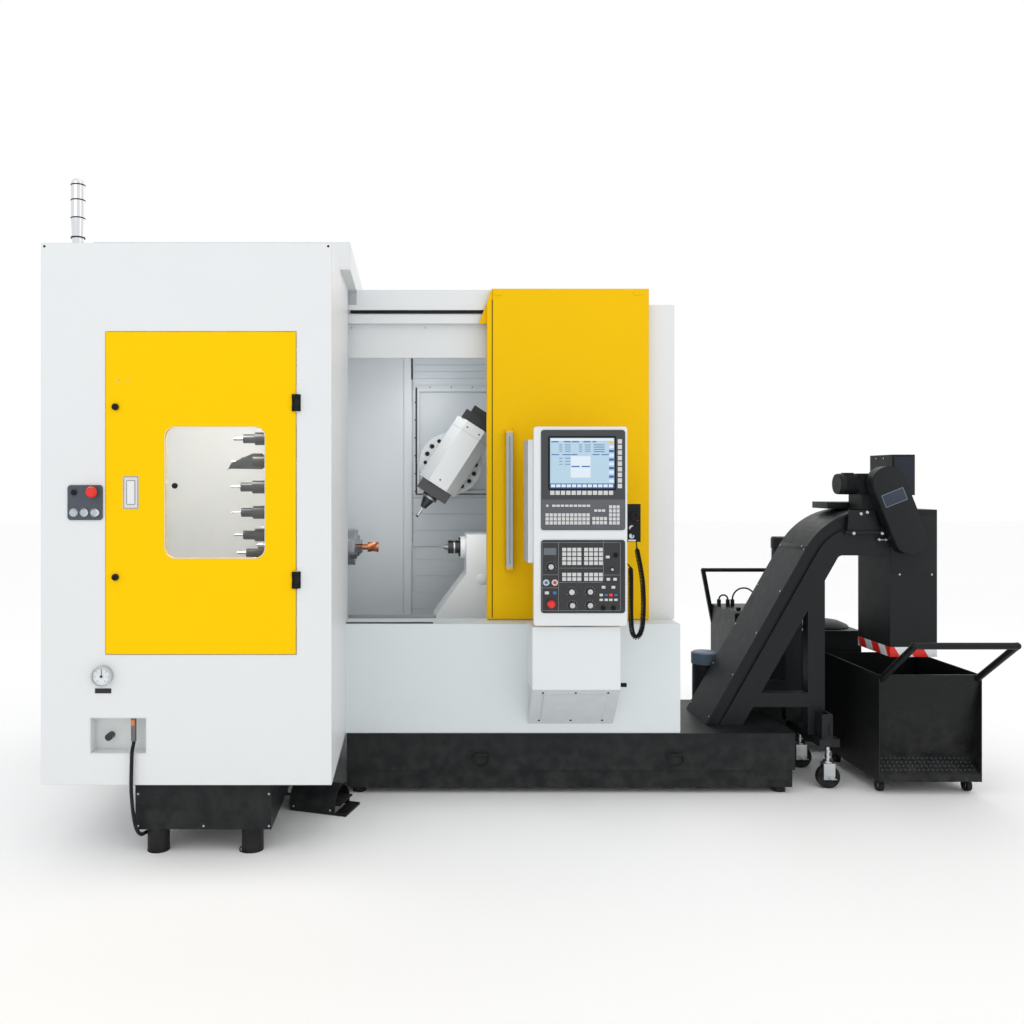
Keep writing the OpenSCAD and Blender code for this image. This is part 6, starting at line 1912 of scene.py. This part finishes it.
    def _control_box(self) -> None:
        """Door, hinge side screws and a pale roof of the drive's control box, the roof a painted highlight on the
        dark box's top edge.
        """
        x0, x1, y, z0, z1 = 2584.0, 2708.0, 1150.0, 1488.0, 1706.0
        middle, rise = (x0 + x1) / 2, (z0 + z1) / 2
        Draft().slab(front_seat(middle + 3, y, rise - 2), x1 - x0 - 14, z1 - z0 - 14, 3, 3, 1.2).done(
            "control_box_door", BOX_BLUE_BLACK, "base")
        left = Seat.facing(Axis.LEFT, at(x0, y + 119, rise))
        Draft().screws(left, [(-50, 92), (30, 92), (-50, -92), (30, -92)], 4.5, 1.8).done(
            "control_box_screws", ZINC, "base")
        # Pale grey slab on the dark box's top, seen only at its front edge: a painted highlight of the lit top edge.
        roof = top_seat(middle, y + 119, z1)
        Draft().slab(roof, x1 - x0, 238, 2.0, 2, 0.8).done("control_box_roof_highlight", CAP_GREY, "base")

    def _casters(self) -> None:
        """Hubs, swivel heads, jack nuts and brake pedals of the casters."""
        hubs, metal = Draft(), Draft()
        for y in self.wheels:
            for side in (Axis.X, Axis.LEFT):
                spot = Seat.facing(side, at(self.wheel_x, y, self.wheel_r)).moved(0, 0, 15)
                hubs.turned(spot, ring_profile(26, 15, 1.4), 28)
            head = top_seat(self.wheel_x, y, 2 * self.wheel_r + 14)
            metal.turned(head, ring_profile(27, 11, 8), 28)
            for rise in (24, 52):
                metal.prism(head.moved(0, 0, rise), hexagon(17.0), 10, 1.0)
            pedal = top_seat(self.wheel_x, y - 52, 62)
            metal.prism(pedal, [(-15, -24), (15, -24), (12, 34), (-12, 34)], 4, 1.2)
        hubs.done("caster_hub_rings", ZINC, "stand_wheels")
        metal.done("caster_fittings", ZINC, "base")


@dataclass
class ChipCart:
    """Chip cart with its tread plate and wheels.

    Attributes:
        left: Lowest X of the tub.
        right: Highest X.
        foot: Y and Z of the tread's lower edge.
        head: Y and Z of its upper edge.
        pitch: Distance between the tread's lugs.
    """

    left: float = 2316.0
    right: float = 2829.0
    foot: Pair = (760.0, 104.0)
    head: Pair = (855.0, 178.0)
    pitch: float = 23.0

    def build(self) -> None:
        """Dresses the cart and adds its small pieces."""
        dress(cart_tub=CART_COAT, cart_wheels_front=RUBBER, cart_wheels_rear=RUBBER)
        self._tread()
        self._hubs()

    def _tread(self) -> None:
        """Lens-shaped lugs in alternating directions on the tread plate."""
        lugs = Draft()
        rise = Vector((0, self.head[0] - self.foot[0], self.head[1] - self.foot[1]))
        middle = at((self.left + self.right) / 2, (self.foot[0] + self.head[0]) / 2,
                    (self.foot[1] + self.head[1]) / 2)
        plate = Seat.facing(Vector((0, -rise.z, rise.y)), middle, rise)
        columns, rows = int((self.right - self.left - 24) // self.pitch), int((rise.length - 8) // self.pitch)
        lens = [(-9, 0), (-5, 2.2), (0, 2.9), (5, 2.2), (9, 0), (5, -2.2), (0, -2.9), (-5, -2.2)]
        for row in range(rows):
            for column in range(columns):
                spot = plate.moved(self.pitch * (column - (columns - 1) / 2), self.pitch * (row - (rows - 1) / 2))
                lean = spot.right * (1 if (row + column) % 2 else -1) + spot.up
                lugs.prism(Seat.facing(spot.out, spot.origin, lean), lens, 1.8, 0.6)
        lugs.done("tread_lugs", TREAD_LUGS, "cart")

    def _hubs(self) -> None:
        """Bright hub caps of the cart's wheels."""
        for name, body, y in (("cart_front_hubs", "cart_wheels_front", 830),
                              ("cart_rear_hubs", "cart_wheels_rear", 1300)):
            hubs = Draft()
            for x in (2352, 2793):
                for side in (Axis.X, Axis.LEFT):
                    hubs.turned(Seat.facing(side, at(x, y, 31)).moved(0, 0, 12), ring_profile(16, 9, 1.2), 24)
            hubs.done(name, ZINC, body)


@dataclass
class CoolantUnit:
    """Coolant tank behind the conveyor with its pumps and rail.

    Attributes:
        tank: Lowest X, highest X, near Y, low top Z and raised top Z of the tank.
        motor: X, Y, radius, foot and top of the tall pump motor.
        tray_pump: X, Y, radius and top of the tray's pump cap.
    """

    tank: tuple[float, float, float, float, float] = (1850.0, 2580.0, 1480.0, 700.0, 800.0)
    motor: tuple[float, float, float, float, float] = (2176.0, 1618.0, 58.0, 700.0, 1234.0)
    tray_pump: Quad = (1643.0, 1385.0, 72.0, 593.0)

    def build(self) -> None:
        """Dresses the unit and adds fins, caps and lids."""
        dress(coolant_unit=ZonedFinish(
            "tank_black", linear(24, 27, 29), shine=0.2, rough=0.42, drift=0.1, grime=0.3, wear=0.12,
            zones=(Zone((1560, 1300, 534), (1725, 1470, 600), linear(88, 104, 120), 0.4),)))
        x, y, radius, low, top = self.motor
        axis = top_seat(x, y, 0)
        fins = Draft()
        for step in range(20):
            fins.turned(axis.moved(0, 0, low + 120 + 9 * step), ring_profile(radius + 3, radius - 2, 3), 40)
        fins.turned(axis.moved(0, 0, low), ring_profile(radius + 22, radius - 2, 14), 40)
        fins.done("pump_motor_fins", SATIN_BLACK, "base")
        cap = Draft().turned(axis.moved(0, 0, top - 66), [(radius - 2, 0), (radius + 4, 0), (radius + 4, 56),
                                                          (radius - 4, 66), (0, 67)], 48)
        cap.done("pump_motor_cap", SATIN_BLACK, "base")
        x, y, radius, top = self.tray_pump
        dome = top_seat(x, y, top)
        Draft().turned(dome, [(radius - 1, 0), (radius - 4, 4), (radius - 16, 9), (0, 12)], 48).done(
            "tray_pump_dome", CAP_GREY, "base")
        self._lids()

    def _lids(self) -> None:
        """Plates on the tank and their knobs."""
        x0, x1, y0, low, high = self.tank
        plates = Draft().slab(top_seat(x0 + 128, y0 + 110, high), 230, 190, 3, 6, 1.0)
        plates.turned(top_seat(x1 - 150, y0 + 180, low),
                      [(146, 0), (146, 8), (138, 16), (92, 36), (30, 45), (0, 46)], 56)
        for x in (x0 + 60, x0 + 190):
            plates.turned(top_seat(x, y0 + 110, high + 3),
                          [(12, 0), (12, 4), (16, 12), (14, 18), (0, 19)], 24)
        plates.done("tank_lids", SATIN_BLACK, "base")


@dataclass
class FootSwitch:
    """Foot switch in front of the pedestal: hood, treadle and ribs.

    Attributes:
        corner: X and Y of the corner that it is turned about.
        turn: Turn about the upright axis in degrees.
        size: Length, width and height.
    """

    corner: Pair = (-565.0, 640.0)
    turn: float = -18.0
    size: tuple[float, float, float] = (290.0, 180.0, 120.0)

    def build(self) -> None:
        """Dresses the switch and adds its rim, ribs and screws."""
        dress(foot_switch=SWITCH_COAT, foot_treadle=RUBBER)
        length, width, height = self.size
        mouth, half = 0.8 * length, width / 2
        rim = [self._place(mouth, -half, 6), self._place(mouth, -half, height - half)]
        for step in range(1, 20):
            angle = math.pi * step / 20
            rim.append(self._place(mouth, -half * math.cos(angle), height - half + half * math.sin(angle)))
        rim += [self._place(mouth, half, height - half), self._place(mouth, half, 6)]
        Draft().tube(rim, 3.0, 10).done("switch_hood_rim", SWITCH_COAT, "base")
        ribs = Draft()
        for step in range(7):
            x = 0.16 * length + 26 * (step + 1)
            ribs.tube([self._place(x, y, 50.4) for y in (-70, 0, 70)], 1.6, 8)
        ribs.done("treadle_ribs", RUBBER, "foot_treadle")
        side = Seat.facing(self._place(0, -1, 0) - self._place(0, 0, 0), self._place(0, -half, 0))
        Draft().screws(side, [(22, 22), (mouth - 22, 22)], 5.0, 1.6).done("switch_screws", ZINC, "base")

    def _place(self, x: float, y: float, z: float) -> Vector:
        """A place given along the switch's own length, width and height, in the frame."""
        turn = math.radians(self.turn)
        return at(self.corner[0] + x * math.cos(turn) - y * math.sin(turn),
                  self.corner[1] + x * math.sin(turn) + y * math.cos(turn), z)


def main() -> None:
    """Builds every sub-assembly."""
    logging.basicConfig(level=logging.INFO, format="%(name)s %(message)s")
    for part in (Studio(), Cords(), Cabinet(), MagazineDoor(), Magazine(), Skirt(), Enclosure(), WorkArea(),
                 OperatorPanel(), ChipConveyor(), ChipCart(), CoolantUnit(), FootSwitch()):
        LOG.info("building %s", type(part).__name__)
        part.build()


if __name__ == "__main__":
    main()
